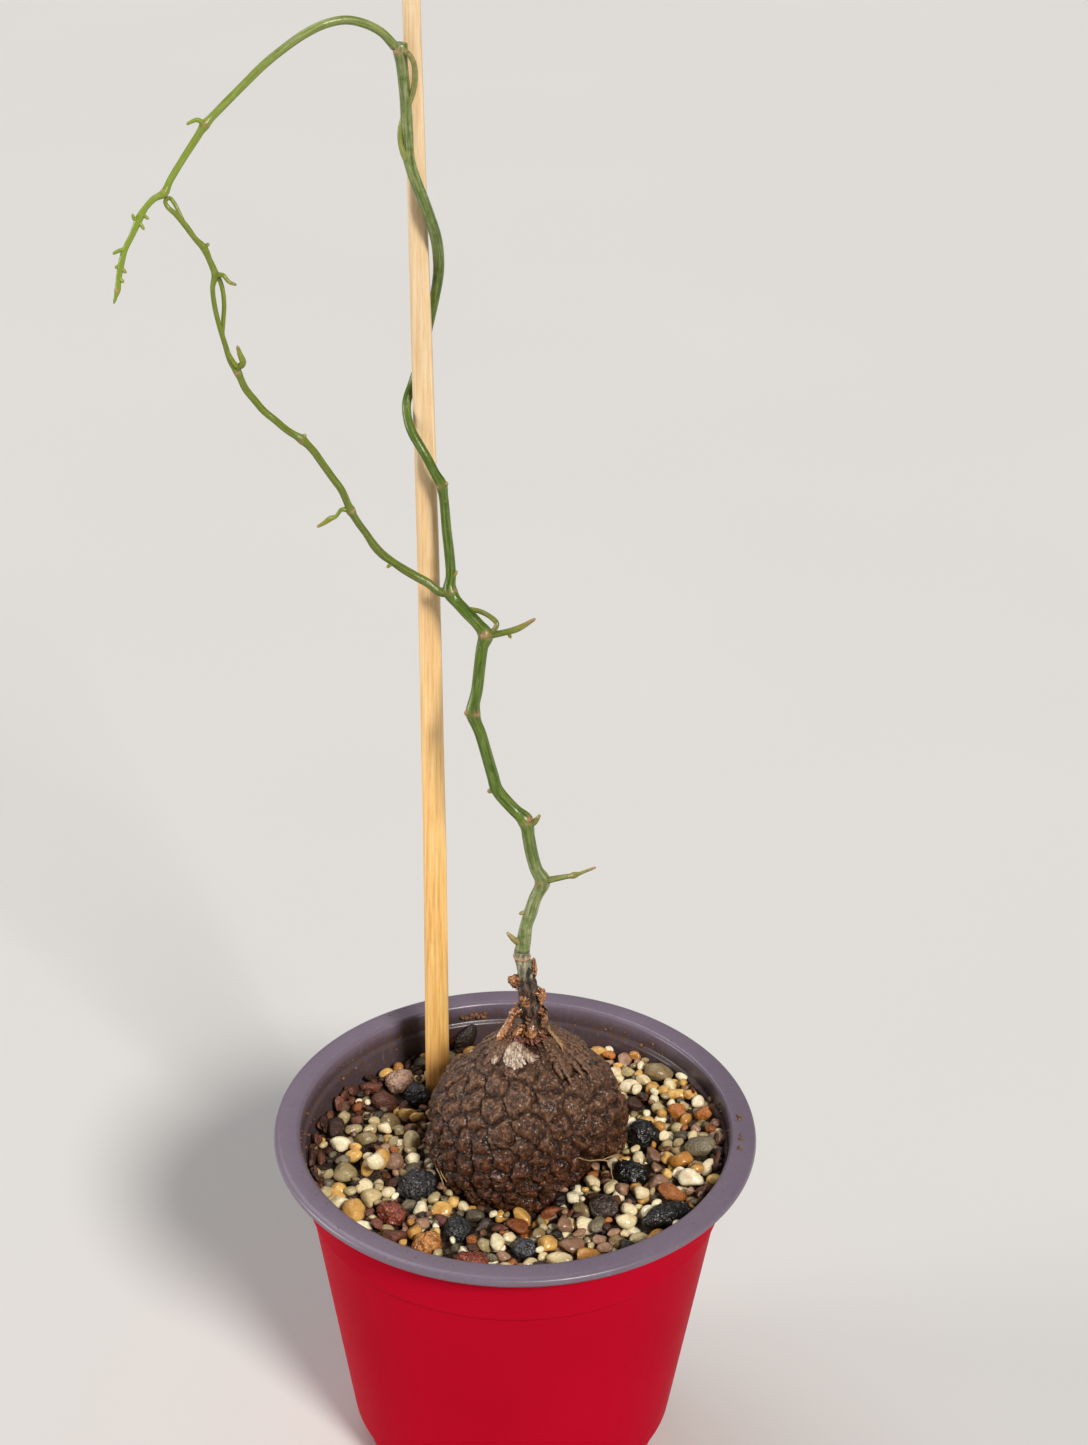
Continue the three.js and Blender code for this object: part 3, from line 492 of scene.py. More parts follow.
def papery_scale():
    made = Finish("papery_scale", 0.38, 0.6)
    fibres = made.noise(0.7, 5, 0.65, made.stretched((1, 1, 0.6)))
    patch = made.noise(1.3, 4, 0.6)
    each = made.each()
    rusty = made.ramp(fibres, (0.34, (66, 32, 17)), (0.5, (154, 90, 46)),
                      (0.66, (236, 178, 116)))
    brown = made.ramp(fibres, (0.34, (40, 22, 15)), (0.5, (96, 60, 40)), (0.7, (186, 142, 106)))
    base = made.mix(each, rusty, brown)
    base = made.mix(made.ramp(patch, (0.36, 0.9), (0.48, 0.0)), base, (38, 19, 12))
    made.colour(made.mix(made.times(made.painted("pale"), 0.35), base, (204, 150, 100)))
    made.gloss(patch, 0.1, 0.36)
    made.relief((made.noise(0.8, 1.5), 0.35))
    return made.material


def foot_scale():
    made = Finish("foot_scale", 0.5)
    fibres = made.noise(0.7, 5, 0.65)
    look = made.ramp(fibres, (0.32, (52, 25, 17)), (0.5, (112, 60, 42)), (0.74, (184, 130, 102)))
    made.colour(look)
    made.relief((fibres, 0.3))
    return made.material


def green_stem(name, deep, bright, bloom, young):
    """Living stem: deep green with a pale bloom, lengthwise streaks, and dry brown joints and thorns"""
    made = Finish(name, 0.3, 0.35)
    around, along = made.painted("around"), made.painted("along")
    lengthwise = made.put("ShaderNodeCombineXYZ", i0=around, i1=along).outputs[0]
    streak = made.noise(0.35, 3, 0.6, made.stretched((0.8, 0.045, 1), lengthwise))
    base = made.ramp(streak, (0.34, deep), (0.62, bright))
    powder = made.ramp(made.noise(2.2, 5, 0.7), (0.34, 0.2), (0.62, 0.9))
    low = made.band(made.height(), 182, 150)
    high = made.times(made.band(made.height(), 290, 330), 0.5)
    where = made.plus(0.14, made.plus(made.times(low, 0.75), high))
    pale_line = made.ramp(streak, (0.44, 0.45), (0.62, 1.0))
    powder = made.times(made.times(powder, where), pale_line)
    base = made.mix(powder, base, bloom)
    base = made.mix(made.painted("young"), base, young)
    speck = made.ramp(made.noise(0.6, 3), (0.69, 0.0), (0.74, 0.6))
    base = made.mix(speck, base, (168, 154, 108))
    brown = made.ramp(made.noise(0.8, 4), (0.35, (124, 84, 58)), (0.7, (192, 154, 118)))
    made.colour(made.mix(made.painted("dry"), base, brown))
    made.gloss(streak, 0.16, 0.34)
    made.relief((streak, 0.1), (made.noise(0.5, 4), 0.05))
    return made.material


def bamboo():
    made = Finish("bamboo", 0.42)
    fibres = made.noise(0.55, 5, 0.65, made.stretched((1, 1, 0.012)))
    fine = made.noise(0.16, 3, 0.6, made.stretched((1, 1, 0.02)))
    low = made.ramp(fibres, (0.3, (208, 148, 74)), (0.5, (240, 188, 108)),
                    (0.7, (250, 212, 142)))
    high = made.ramp(fibres, (0.3, (204, 168, 122)), (0.5, (220, 190, 148)),
                     (0.7, (228, 208, 174)))
    base = made.mix(made.band(made.height(), 110, 300), low, high)
    dark = made.ramp(fine, (0.3, 0.3), (0.42, 0.0))
    base = made.mix(dark, base, (170, 118, 64))
    stain = made.ramp(made.noise(7, 4, 0.6, made.stretched((1, 1, 0.3))), (0.64, 0.0), (0.76, 0.25))
    base = made.mix(stain, base, (170, 120, 70))
    wet = made.times(made.band(made.height(), 100, 90), 0.4)
    base = made.mix(wet, base, (200, 124, 52))
    made.colour(made.mix(made.painted("scar"), base, (130, 84, 52)))
    made.gloss(fibres, 0.34, 0.52)
    made.relief((fibres, 0.10), (fine, 0.05))
    return made.material


def fibre(name, dark, light):
    made = Finish(name, 0.6)
    made.colour(made.ramp(made.noise(0.6, 4), (0.3, dark), (0.7, light)))
    made.relief((made.noise(0.3, 3), 0.06))
    return made.material


def grit():
    made = Finish("grit", 0.85, 0.3)
    made.colour(made.ramp(made.noise(0.8, 5, 0.7), (0.35, (24, 17, 13)), (0.68, (88, 66, 50))))
    made.relief((made.cells(0.9), 0.4), (made.noise(0.4, 3), 0.15))
    return made.material


# Pot: one turned skin, crimson outside, grey-mauve from under the rim inwards
def rounded(profile, radius=0.35, steps=3):
    """A turned profile with its inner corners rounded"""
    points = [Vector(p) for p in profile]
    outline = [points[0]]
    for before, corner, after in zip(points, points[1:], points[2:]):
        reach = min(radius, (before - corner).length * 0.45, (after - corner).length * 0.45)
        start = corner + (before - corner).normalized() * reach
        end = corner + (after - corner).normalized() * reach
        for i in range(steps + 1):
            t = i / steps
            outline.append(start * (1 - t) ** 2 + corner * 2 * t * (1 - t) + end * t * t)
    outline.append(points[-1])
    return outline


# How many of the outside's last rows of points lie under the rim, which is grey-mauve
UNDER_RIM = 5


def pot_skin():
    """The turned pot, where the rows of faces after the outside's last ones are grey-mauve"""
    sides = 192
    outside = rounded(POT_OUTSIDE)
    outline = outside + rounded(POT_INSIDE)[1:]
    rings = [circle_at(radius, z, around(sides)) for radius, z in outline[1:-1]]
    shape = Shape()
    points, faces = capped_tube(rings)
    shape.add(points, faces)
    made = shape.piece("pot_skin", "pot", [pot_red(), pot_grey()], ["pot"])
    inside = (len(outside) - UNDER_RIM) * sides
    for index, polygon in enumerate(made.data.polygons):
        last_cap = index >= len(faces) - sides
        polygon.material_index = 1 if last_cap or inside <= index < (len(rings) - 1) * sides else 0


# Gravel: the same ground as the part's, covered by loose pebbles dropped one by one
def ground_z(x, y):
    bank = GRAVEL_BANK * smoothstep(x, 8, 52)
    return GRAVEL_GROOVE_Z + bank + GRAVEL_SLOPE_Y * y + 0.25 * np.sin(0.13 * x + 0.8) * np.cos(0.11 * y)


def inner_radius(z):
    return np.interp(z, [76, 88.2, 88.9, 93.4], [51.1, 52.2, 53.1, 53.4])


def caudex_point(directions, lift):
    x, y, z = directions.T
    turn = np.arctan2(y, x)
    ledge = 0.26 - 0.533 * (turn + 0.96) + 0.02 * np.sin(19 * turn) + 0.012 * np.sin(43 * turn + 1)
    below = smoothstep(ledge - z, -0.04, 0.12)
    beside = smoothstep(turn - 0.6 * z, -1.1, -0.9) * (1 - smoothstep(turn, -0.35, 0.3))
    notch = 0.26 * below * beside
    shoulder = (0.16 + 0.12 * np.cos(turn - 2.5)) * smoothstep(z, 0.35, 0.9)
    lobes = 0.022 * np.sin(2 * turn + 0.6) + 0.014 * np.sin(3 * turn + 2)
    radius = CAUDEX_RADIUS * (1 + lobes - notch - shoulder)
    height = np.where(z > 0, CAUDEX_RISE, CAUDEX_DEPTH)
    body = np.stack([radius * x, radius * y, height * z], 1)
    return body + directions * np.reshape(lift, (-1, 1)) + CAUDEX_CENTRE


# Larger stones, as in the part: place, half sizes and turn
STONES = {
    "lava_left": ((-24, -12), (5.4, 4.4, 4.0), 0.5),
    "lava_back": ((-25.6, 24.9), (3.9, 3.4, 2.9), 2.1),
    "lava_front": ((-13.2, -28.4), (3.7, 3.5, 3.0), 0.9),
    "charcoal_right": ((32.3, 5.8), (4.7, 4.2, 3.8), 1.3),
    "charcoal_low": ((28.6, -8.6), (4.7, 3.7, 3.2), 2.7),
    "charcoal_long": ((37.4, -27), (7.4, 3.5, 2.9), 0.42),
    "slate_stone": ((2.8, -34.6), (3.0, 2.9, 2.6), 0.2),
    "brown_stone": ((22.1, -20.8), (3.4, 3.7, 3.0), 1.1),
    "red_stone": ((-29.7, -22.6), (4.1, 3.4, 2.9), 2.5),
    "brick_stone": ((-9.5, -40.4), (4.8, 3.0, 2.7), 3.0),
    "ochre_stone": ((-20.4, -34), (4.0, 3.2, 2.9), 0.6),
    "rosy_stone": ((-31, 31), (4.1, 3.5, 3.0), 0.8),
}
STONE_LIFT = 1.3
STAKE_AT_GRAVEL = (-20.4, 29.7)

# Pits this deep or deeper, in mm, go with a rugged, crumbly stone
ROUGH_PITS = 0.14

# Pebble families: how common they are, darkest and lightest shade, roughness, size of the grain and
# depth of its pits in mm, and number, softness and depths of the worn flat sides, with the flatness
Family = namedtuple("Family", "share dark light roughness grain pits facets softness depths flat")
FAMILIES = {
    "cream": Family(25, (204, 182, 130), (250, 241, 210), 0.2, 0.6, 0.04, 9, 0.03, (0.64, 0.98), 0.74),
    "olive": Family(20, (118, 99, 66), (196, 178, 132), 0.26, 0.5, 0.08, 11, 0.02, (0.58, 0.95), 0.7),
    "ochre": Family(13, (170, 114, 48), (232, 190, 110), 0.22, 0.6, 0.06, 9, 0.03, (0.62, 0.98), 0.74),
    "pinkish": Family(13, (106, 74, 56), (178, 140, 112), 0.32, 0.45, 0.12, 11, 0.02, (0.55, 0.92), 0.7),
    "orange": Family(5, (122, 64, 28), (202, 124, 56), 0.38, 0.5, 0.14, 12, 0.012, (0.52, 0.92), 0.68),
    "brick": Family(8, (54, 29, 21), (126, 72, 50), 0.5, 0.45, 0.2, 12, 0.01, (0.48, 0.9), 0.66),
    "dark": Family(9, (24, 18, 15), (72, 54, 44), 0.4, 0.45, 0.2, 12, 0.01, (0.48, 0.9), 0.66),
    "grey": Family(9, (74, 66, 50), (138, 126, 100), 0.32, 0.4, 0.14, 11, 0.035, (0.6, 0.95), 0.7),
    "chip": Family(6, (44, 24, 16), (120, 70, 44), 0.55, 0.7, 0.25, 10, 0.01, (0.45, 0.9), 0.5),
}

# Pebbles that stand out in the photograph: family, place, width and height as seen, in mm
PLACED = [
    ("ochre", -38.8, -21.9, 5.4, 5.8), ("cream", -35.0, -16.2, 4.9, 6.4), ("cream", -37.1, -11.4, 4.4, 4.4),
    ("pinkish", 14.5, -33.1, 8.1, 4.8), ("ochre", 8.3, -32.2, 4.8, 6.2), ("cream", 11.7, -38.3, 6.7, 4.3),
    ("ochre", 18.3, -37.3, 6.7, 3.8), ("orange", 38.4, -19.1, 7.3, 5.4), ("cream", 43.5, -13.8, 6.4, 5.4),
    ("ochre", 41.3, -5.9, 6.0, 4.5), ("grey", 45.8, -1.7, 8.0, 5.5), ("olive", 36.7, 31.6, 7.8, 6.3),
    ("orange", 34.9, 38.3, 3.7, 5.3), ("orange", 1.7, -26.7, 6.3, 4.4), ("brick", -33.7, 22.8, 7.8, 5.7),
    ("brick", 29.7, 18.4, 5.1, 5.6), ("orange", 41.0, 13.1, 5.1, 4.6), ("orange", 47.6, 12.7, 4.6, 5.6),
    ("ochre", -28.1, 17.6, 5.1, 3.6), ("olive", -37.6, 6.4, 5.8, 5.2), ("olive", -42.3, -7.0, 6.0, 5.5),
    ("cream", -44.0, 4.0, 5.6, 4.5), ("brick", -28.6, -30.4, 6.3, 4.8), ("chip", -44.2, 20.4, 8.0, 6.0),
    ("chip", -46.2, 10.5, 5.6, 7.0), ("chip", -48.6, -1.5, 3.4, 9.0), ("chip", -48.2, -10.6, 3.0, 7.0),
    ("brick", -38.0, 28.5, 7.0, 4.4), ("orange", -32.5, 36.6, 7.0, 4.4), ("cream", -20.5, -6.5, 4.2, 5.8),
    ("cream", -26.3, 6.4, 4.4, 5.2), ("pinkish", -30.5, -2.6, 6.0, 5.6), ("ochre", -33.0, -5.0, 4.4, 5.2),
    ("ochre", -43.0, -13.0, 5.0, 4.2), ("ochre", -17.6, -20.5, 5.0, 4.6), ("cream", -22.6, -20.0, 4.2, 4.4),
    ("grey", -9.4, -22.8, 4.6, 4.2), ("cream", 17.4, -25.2, 4.8, 5.2), ("pinkish", 12.6, -25.4, 5.2, 4.6),
    ("cream", 27.6, -27.4, 5.4, 4.2), ("cream", 31.2, -17.6, 4.4, 4.6), ("pinkish", 35.4, -13.6, 5.4, 4.6),
    ("cream", 25.6, 33.2, 4.2, 4.6), ("cream", 29.5, 27.4, 5.4, 4.4), ("ochre", 41.5, 21.6, 5.8, 3.6),
    ("olive", -6.4, -33.0, 4.0, 4.4), ("cream", -3.6, -33.6, 3.2, 5.2), ("cream", -34.4, -8.2, 4.6, 4.4),
]

# The charcoal slab that leans on the wall behind the stake, where the caudex's shadow falls, so that its
# darkness stands partly for painted shade: family, turn, radius, lift, half sizes
WALL_SLAB = ("dark", 106, 49.6, 3.4, (1.2, 4.2, 4.4))
BED_RADIUS = 52

# Pebbles under and over the placed ones: tries, least and greatest half size, and how far they may
# stand out of the ground
FIRST_SCATTER = (520, 1.3, 2.1, 0.6)
LATER_SCATTERS = [(1100, 1.35, 2.2, 2.7), (1200, 0.9, 1.5, 2.5)]


class PebbleBed:
    """A map of the bed's height, on which pebbles are dropped and come to rest"""

    CELL = 0.4
    HALF = 53.2

    def __init__(self, random):
        self.random = random
        axis = np.arange(-self.HALF, self.HALF, self.CELL)
        self.x, self.y = np.meshgrid(axis, axis, indexing="ij")
        self.ground = ground_z(self.x, self.y)
        self.top = self.ground - 2.4
        self.shut = np.hypot(self.x, self.y) > inner_radius(self.ground + 1) - 0.3
        self.shut |= self.inside_caudex()
        self.shut |= self.inside_oval(STAKE_AT_GRAVEL, (3.5, 3.1), 0)
        for place, (long, wide, _), turn in STONES.values():
            self.shut |= self.inside_oval(place, (long * 0.93, wide * 0.93), turn)
        self.pebbles = []

    def inside_caudex(self):
        """The cells that the caudex covers, taken at the height where it meets the gravel"""
        belt = -0.34
        dx, dy = self.x - CAUDEX_CENTRE[0], self.y - CAUDEX_CENTRE[1]
        turn = np.arctan2(dy, dx)
        directions = circle_at(math.sqrt(1 - belt * belt), belt, turn.ravel())
        edge = caudex_point(directions, np.full(turn.size, PLATE_LIFT * 0.6))
        reach = np.hypot(*(edge - CAUDEX_CENTRE)[:, :2].T).reshape(turn.shape)
        return np.hypot(dx, dy) < reach

    def inside_oval(self, place, half, turn):
        u, v = in_turned_frame(self.x - place[0], self.y - place[1], turn)
        return (u / half[0]) ** 2 + (v / half[1]) ** 2 < 1

    def cells(self, centre, reach):
        """The row or column of cells that lie within reach of a centre"""
        ends = np.array([centre - reach, centre + reach + self.CELL])
        low, high = np.clip((ends + self.HALF) / self.CELL, 0, len(self.x)).astype(int)
        return slice(low, high)

    def bulge_of(self, window, x, y, a, b, yaw):
        """1 over a pebble's centre, falling to 0 at its outline and below 0 beyond it"""
        u, v = in_turned_frame(self.x[window] - x, self.y[window] - y, yaw)
        u, v = u / a, v / b
        return 1 - u * u - v * v

    def rest(self, x, y, a, b, c, yaw):
        """Where a pebble comes to rest: its cells, its bulge over them and its centre's height"""
        reach = max(a, b) + self.CELL
        window = (self.cells(x, reach), self.cells(y, reach))
        inside = self.bulge_of(window, x, y, a, b, yaw)
        covers = inside > 0
        if not covers.any() or self.shut[window][covers & (inside > 0.12)].any():
            return None
        bulge = c * np.sqrt(np.where(covers, inside, 0))
        z = (self.top[window] + bulge)[covers].max() - 0.22 * c
        return window, covers, bulge, z

    def drop(self, family, x, y, a, b, c, yaw, limit):
        found = self.rest(x, y, a, b, c, yaw)
        if found is None:
            return False
        window, covers, bulge, z = found
        if z + c > ground_z(x, y) + limit:
            return False
        patch = self.top[window]
        patch[covers] = np.maximum(patch[covers], (z + bulge)[covers])
        self.pebbles.append((family, x, y, z, a, b, c, yaw))
        return True

    def scatter(self, tries, low, high, limit):
        """Drop pebbles of random sizes, each at the lowest of a few random places"""
        names = list(FAMILIES)
        for _ in range(tries):
            size = self.random.uniform(low, high)
            a = size * self.random.uniform(1.0, 1.35)
            b = size * self.random.uniform(0.75, 1.0)
            c = size * self.random.uniform(0.65, 0.8)
            yaw = self.random.uniform(0, math.pi)
            best = None
            for _ in range(5):
                radius = BED_RADIUS * math.sqrt(self.random.random())
                turn = self.random.uniform(0, 2 * math.pi)
                x, y = radius * math.cos(turn), radius * math.sin(turn)
                found = self.rest(x, y, a, b, c, yaw)
                depth = found[3] - ground_z(x, y) if found else 99
                if found and (best is None or depth < best[0]):
                    best = (depth, x, y)
            if best:
                _, x, y = best
                family = names[self.random.choice(len(names), p=family_shares(x, y))]
                self.drop(family, x, y, a, b, c, yaw, limit)

    def seen(self, pebble):
        """Whether enough of a pebble still shows from above"""
        _, x, y, z, a, b, c, yaw = pebble
        near = (abs(self.x - x) < a + b) & (abs(self.y - y) < a + b)
        inside = self.bulge_of(near, x, y, a, b, yaw)
        covers = inside > 0
        upper = z + c * np.sqrt(inside[covers])
        return (self.top[near][covers] - upper < 0.5).mean() > 0.06


def family_shares(x, y):
    """More brick, dark bits and chips at the left wall, more pale ones in front and on the right"""
    left_wall = smoothstep(-x + 0.5 * y, 34, 52)
    right = smoothstep(x, 0, 35)
    factors = {"brick": 1 + 0.8 * left_wall - 0.3 * right, "dark": 1 + 0.3 * left_wall,
               "chip": 1 + 3.0 * left_wall - 0.5 * right, "cream": 1 - 0.4 * left_wall + 0.3 * right,
               "ochre": 1 + 0.3 * right}
    shares = np.array([family.share * factors.get(name, 1) for name, family in FAMILIES.items()])
    return shares / shares.sum()


def wall_chips(random):
    """Chips that lean on the wall, mostly on the left: family, turn, radius, lift and half sizes"""
    # First the dark slab, which stands partly for painted shade
    yield WALL_SLAB
    for _ in range(46):
        turn = random.uniform(140, 212) if random.random() < 0.75 else random.uniform(-30, 110)
        lift = random.uniform(1.2, 3.0)
        radius = 50.6 + 0.13 * lift - random.uniform(0, 1.2)
        half = (0.6, random.uniform(1.4, 3.8), random.uniform(0.9, 1.9))
        yield "chip" if random.random() < 0.7 else "brick", turn, radius, lift, half


def turned_stone(directions, reach, half, turns, place):
    """A stone's points: its reach in each direction, turned about Z, then X, then Y, and moved"""
    about_z, about_x, about_y = (Matrix.Rotation(turn, 3, axis) for turn, axis in zip(turns, "ZXY"))
    return directions * reach[:, None] * half @ np.array(about_z @ about_x @ about_y).T + place


def gravel():
    """All pebbles that show, a piece for each family, and the chips at the wall"""
    random = np.random.default_rng(5)
    bed = PebbleBed(random)
    bed.scatter(*FIRST_SCATTER)
    for family, x, y, width, depth in PLACED:
        a, b = width / 2 * 0.98, depth / 2
        bed.drop(family, x, y, a, b, min(a, b) * 0.8, random.uniform(-0.3, 0.3), 9)
    for scatter in LATER_SCATTERS:
        bed.scatter(*scatter)
    shapes = {name: Shape() for name in FAMILIES}
    fine = ball(5)
    coarse = ball(3)
    for family, x, y, z, a, b, c, yaw in filter(bed.seen, bed.pebbles):
        look = FAMILIES[family]
        directions, faces = coarse if a < 1.3 else fine
        reach = stone_radius(directions, random, look.facets, look.softness, look.depths)
        seed = random.uniform(0, 99)
        rough = 1.9 if look.pits >= ROUGH_PITS else 0.9
        lumps = 0.07 * noise_at(directions, 1.1, seed) + 0.04 * noise_at(directions, 0.5, seed)
        reach *= 1 + rough * lumps
        half = np.array([a, b, c * look.flat / 0.72]) * 1.12
        turns = (yaw, *random.normal(0, 0.2, 2))
        shapes[family].add(turned_stone(directions, reach, half, turns, (x, y, z)), faces)
    directions, faces = fine
    for family, turn, radius, lift, half in wall_chips(random):
        angle = math.radians(turn)
        x, y = radius * math.cos(angle), radius * math.sin(angle)
        reach = stone_radius(directions, random, 9, 0.02, (0.5, 0.9))
        turns = (angle, random.normal(0, 0.5), random.uniform(0.1, 0.6))
        place = (x, y, float(ground_z(x, y)) + lift)
        shapes[family].add(turned_stone(directions, reach, half, turns, place), faces)
    for name, shape in shapes.items():
        look = FAMILIES[name]
        material = pebble(f"pebble_{name}", look.dark, look.light, look.roughness, look.grain, look.pits)
        shape.piece(f"pebbles_{name}", "gravel", [material], ["gravel"])


def gravel_floor():
    """Dark grit under the pebbles, which fills the gaps between them"""
    angles = around(96)
    rings = [circle_at(50.9, 78.4, angles)]
    for radius in np.linspace(51.4, 2, 40):
        ring = circle_at(radius, 0.0, angles)
        ring[:, 2] = ground_z(ring[:, 0], ring[:, 1]) - 1.2
        rings.append(ring)
    shape = Shape()
    points, faces = capped_tube(rings)
    bumps = noise_at(points, 1.8, 4.0)
    points[:, 2] += 0.5 * bumps * (points[:, 2] > 79)
    shape.add(points, faces)
    shape.piece("gravel_floor", "gravel", [grit()], ["gravel"])


# Stones: the part's own solids, worn and pitted. Darkest and lightest shade, roughness, and size and
# depth of the pits in mm
STONE_LOOKS = {
    "dark_lava": ((11, 10, 11), (64, 62, 64), 0.5, 0.8, 0.5),
    "charcoal": ((6, 5, 5), (34, 31, 29), 0.45, 1.0, 0.4),
    "slate": ((20, 21, 23), (76, 77, 82), 0.5, 0.9, 0.4),
    "brown_lava": ((34, 25, 21), (92, 74, 64), 0.55, 0.7, 0.4),
    "red_lava": ((70, 25, 16), (158, 80, 56), 0.5, 0.8, 0.45),
    "ochre_lava": ((130, 74, 28), (210, 146, 78), 0.5, 0.8, 0.4),
    "rosy_stone": ((146, 108, 88), (202, 168, 146), 0.6, 0.9, 0.2),
}


def stones():
    looks = {name: rock(name, *look) for name, look in STONE_LOOKS.items()}
    directions, faces = ball(24)
    slots = {row["node"]: row["material_slot"] for row in frame["record"]["subparts"]}
    for index, (name, ((x, y), _, _)) in enumerate(STONES.items()):
        centre = np.array([x, y, float(ground_z(x, y)) + STONE_LIFT])
        mesh = frame["nodes"][name].data
        tree = BVHTree.FromPolygons([v.co / MM for v in mesh.vertices], [p.vertices for p in mesh.polygons])
        reach = np.array([tree.ray_cast(Vector(centre), Vector(d))[3] for d in directions])
        local = directions * reach[:, None]
        rough = 0.10 * noise_at(local, 1.9, index * 7.0, 3) + 0.04 * noise_at(local, 0.6, index * 5.0, 2)
        rough -= 0.07 * np.exp(-((noise_at(local, 1.7, index * 3.0, 2) / 0.14) ** 2))
        local *= (1.0 + rough)[:, None]
        shape = Shape()
        shape.add(local + centre, faces)
        shape.piece(f"{name}_worn", slots[name], [looks[slots[name]]], [name])


# Caudex: corky plates at the places they have in the photograph, and scattered over the back
FRONT_PLATES = [
    (-123, 0.78), (-97, 0.74), (-66, 0.84), (-34, 0.72), (-71, 0.66), (-50, 0.54), (-87, 0.50),
    (-126, 0.48), (-118, 0.62), (-107, 0.43), (-65, 0.44), (-139, 0.62), (-26, 0.53), (-36, 0.34),
    (-18, 0.32), (-51, 0.29), (-25, 0.06), (-40, 0.17), (-117, 0.17), (-102, 0.24), (-93, 0.34),
    (-82, 0.21), (-73, 0.38), (-63, 0.28), (-92, 0.13), (-104, 0.01), (-88, -0.07), (-79, 0.06),
    (-68, 0.09), (-73, -0.12), (-118, -0.03), (-96, -0.25), (-127, 0.08), (-138, 0.07), (-130, 0.30),
    (-120, 0.34), (-143, 0.25), (-156, 0.25), (-150, 0.47), (-163, 0.36), (-140, 0.39), (-158, 0.58),
    (-147, 0.70), (-19, 0.65), (-15, 0.51), (-31, 0.87), (-85, 0.90), (-21, 0.19), (-56, 0.14), (-45, 0.42),
]


def plate_seeds():
    """Plate centres as in the part: the front ones, then a spiral wherever there is room"""
    random = random_stream(7)
    golden_angle = math.pi * (3 - math.sqrt(5))

    def seed_at(turn, z):
        flat = math.sqrt(1 - z * z)
        return np.array([flat * math.cos(turn), flat * math.sin(turn), z])

    seeds = [seed_at(math.radians(degrees), z) for degrees, z in FRONT_PLATES]
    for count, high, low in ((140, 0.985, -0.5), (14, -0.5, -0.98)):
        for i in range(count):
            z = high - (high - low) * (i + 0.5 + 0.9 * (next(random) - 0.5)) / count
            seed = seed_at(golden_angle * i + 0.16 * (next(random) - 0.5), z)
            if all(np.linalg.norm(seed - other) > 0.21 for other in seeds):
                seeds.append(seed)
    return np.array(seeds)


def edge_distance(directions, seeds):
    """The nearest seed of each direction, how far it is, and how far the cell's edge is, in mm"""
    squared = 2 - 2 * directions @ seeds.T
    order = np.argpartition(squared, 2, axis=1)[:, :3]
    near = np.take_along_axis(squared, order, 1)
    rank = np.argsort(near, axis=1)
    order = np.take_along_axis(order, rank, 1)
    near = np.take_along_axis(near, rank, 1)
    edges = []
    for k in (1, 2):
        apart = np.linalg.norm(seeds[order[:, 0]] - seeds[order[:, k]], axis=1)
        edges.append((near[:, k] - near[:, 0]) / (2 * apart))
    return order[:, 0], np.sqrt(near[:, 0]) * CORK_SCALE, np.minimum(*edges) * CORK_SCALE


def plate_relief(random, place, warped, warp):
    """Height of the plates, and each point's distance from its plate's edge"""
    seeds = plate_seeds()
    nearest, centre_distance, edge = edge_distance(warped, seeds)
    edge = np.maximum(edge, 0)
    away = (warped - seeds[nearest]) * CORK_SCALE

    # Each plate: a steep edge, a dome, two worn ledges, a lean of its own and a knob or pit in the middle
    lift = (0.80 + 0.28 * random.random(len(seeds)))[nearest]
    lean = random.normal(0, 0.045, (len(seeds), 3))[nearest]
    middle = random.choice([-0.35, 0.0, 0.25, 0.35], len(seeds))[nearest]
    ledges = smoothstep(edge + 0.35 * warp[:, 0], 0.7, 0.95) + smoothstep(edge + 0.35 * warp[:, 1], 1.5, 1.8)
    dome = 0.26 * smoothstep(edge, 0.0, 0.4) + 0.74 * smoothstep(edge, -0.3, 1.9)
    plate = lift * (dome + 0.07 * ledges)
    plate += (away * lean).sum(1) + middle * np.exp(-((centre_distance / 0.75) ** 2))

    # Wrinkles that run out from each plate's middle or around it, and creases that wander across it
    right = unit(np.stack([-seeds[:, 1], seeds[:, 0], np.zeros(len(seeds))], 1))[nearest]
    over = np.cross(seeds[nearest], right)
    swing = np.arctan2((away * over).sum(1), (away * right).sum(1))
    rays = np.stack([2.6 * np.cos(swing), 2.6 * np.sin(swing), 0.4 * centre_distance + 7.3 * nearest], 1)
    hoops = np.stack([0.7 * np.cos(swing), 0.7 * np.sin(swing), 1.7 * centre_distance + 5.1 * nearest], 1)
    rayed = random.uniform(0.0, 1.0, len(seeds))[nearest] * smoothstep(centre_distance, 0.3, 1.2)
    plate += 0.20 * rayed * noise_at(rays, 1.0, 0.0, 2) + 0.20 * (1 - rayed) * noise_at(hoops, 1.0, 4.0, 2)
    crease = np.exp(-((noise_at(place, 1.7, 40.0, 1) / 0.05) ** 2))
    plate -= 0.12 * crease
    plate += 0.08 * noise_at(place, 1.5, 2.0, 2) + 0.04 * noise_at(place, 0.7, 6.0, 1)
    return plate, edge


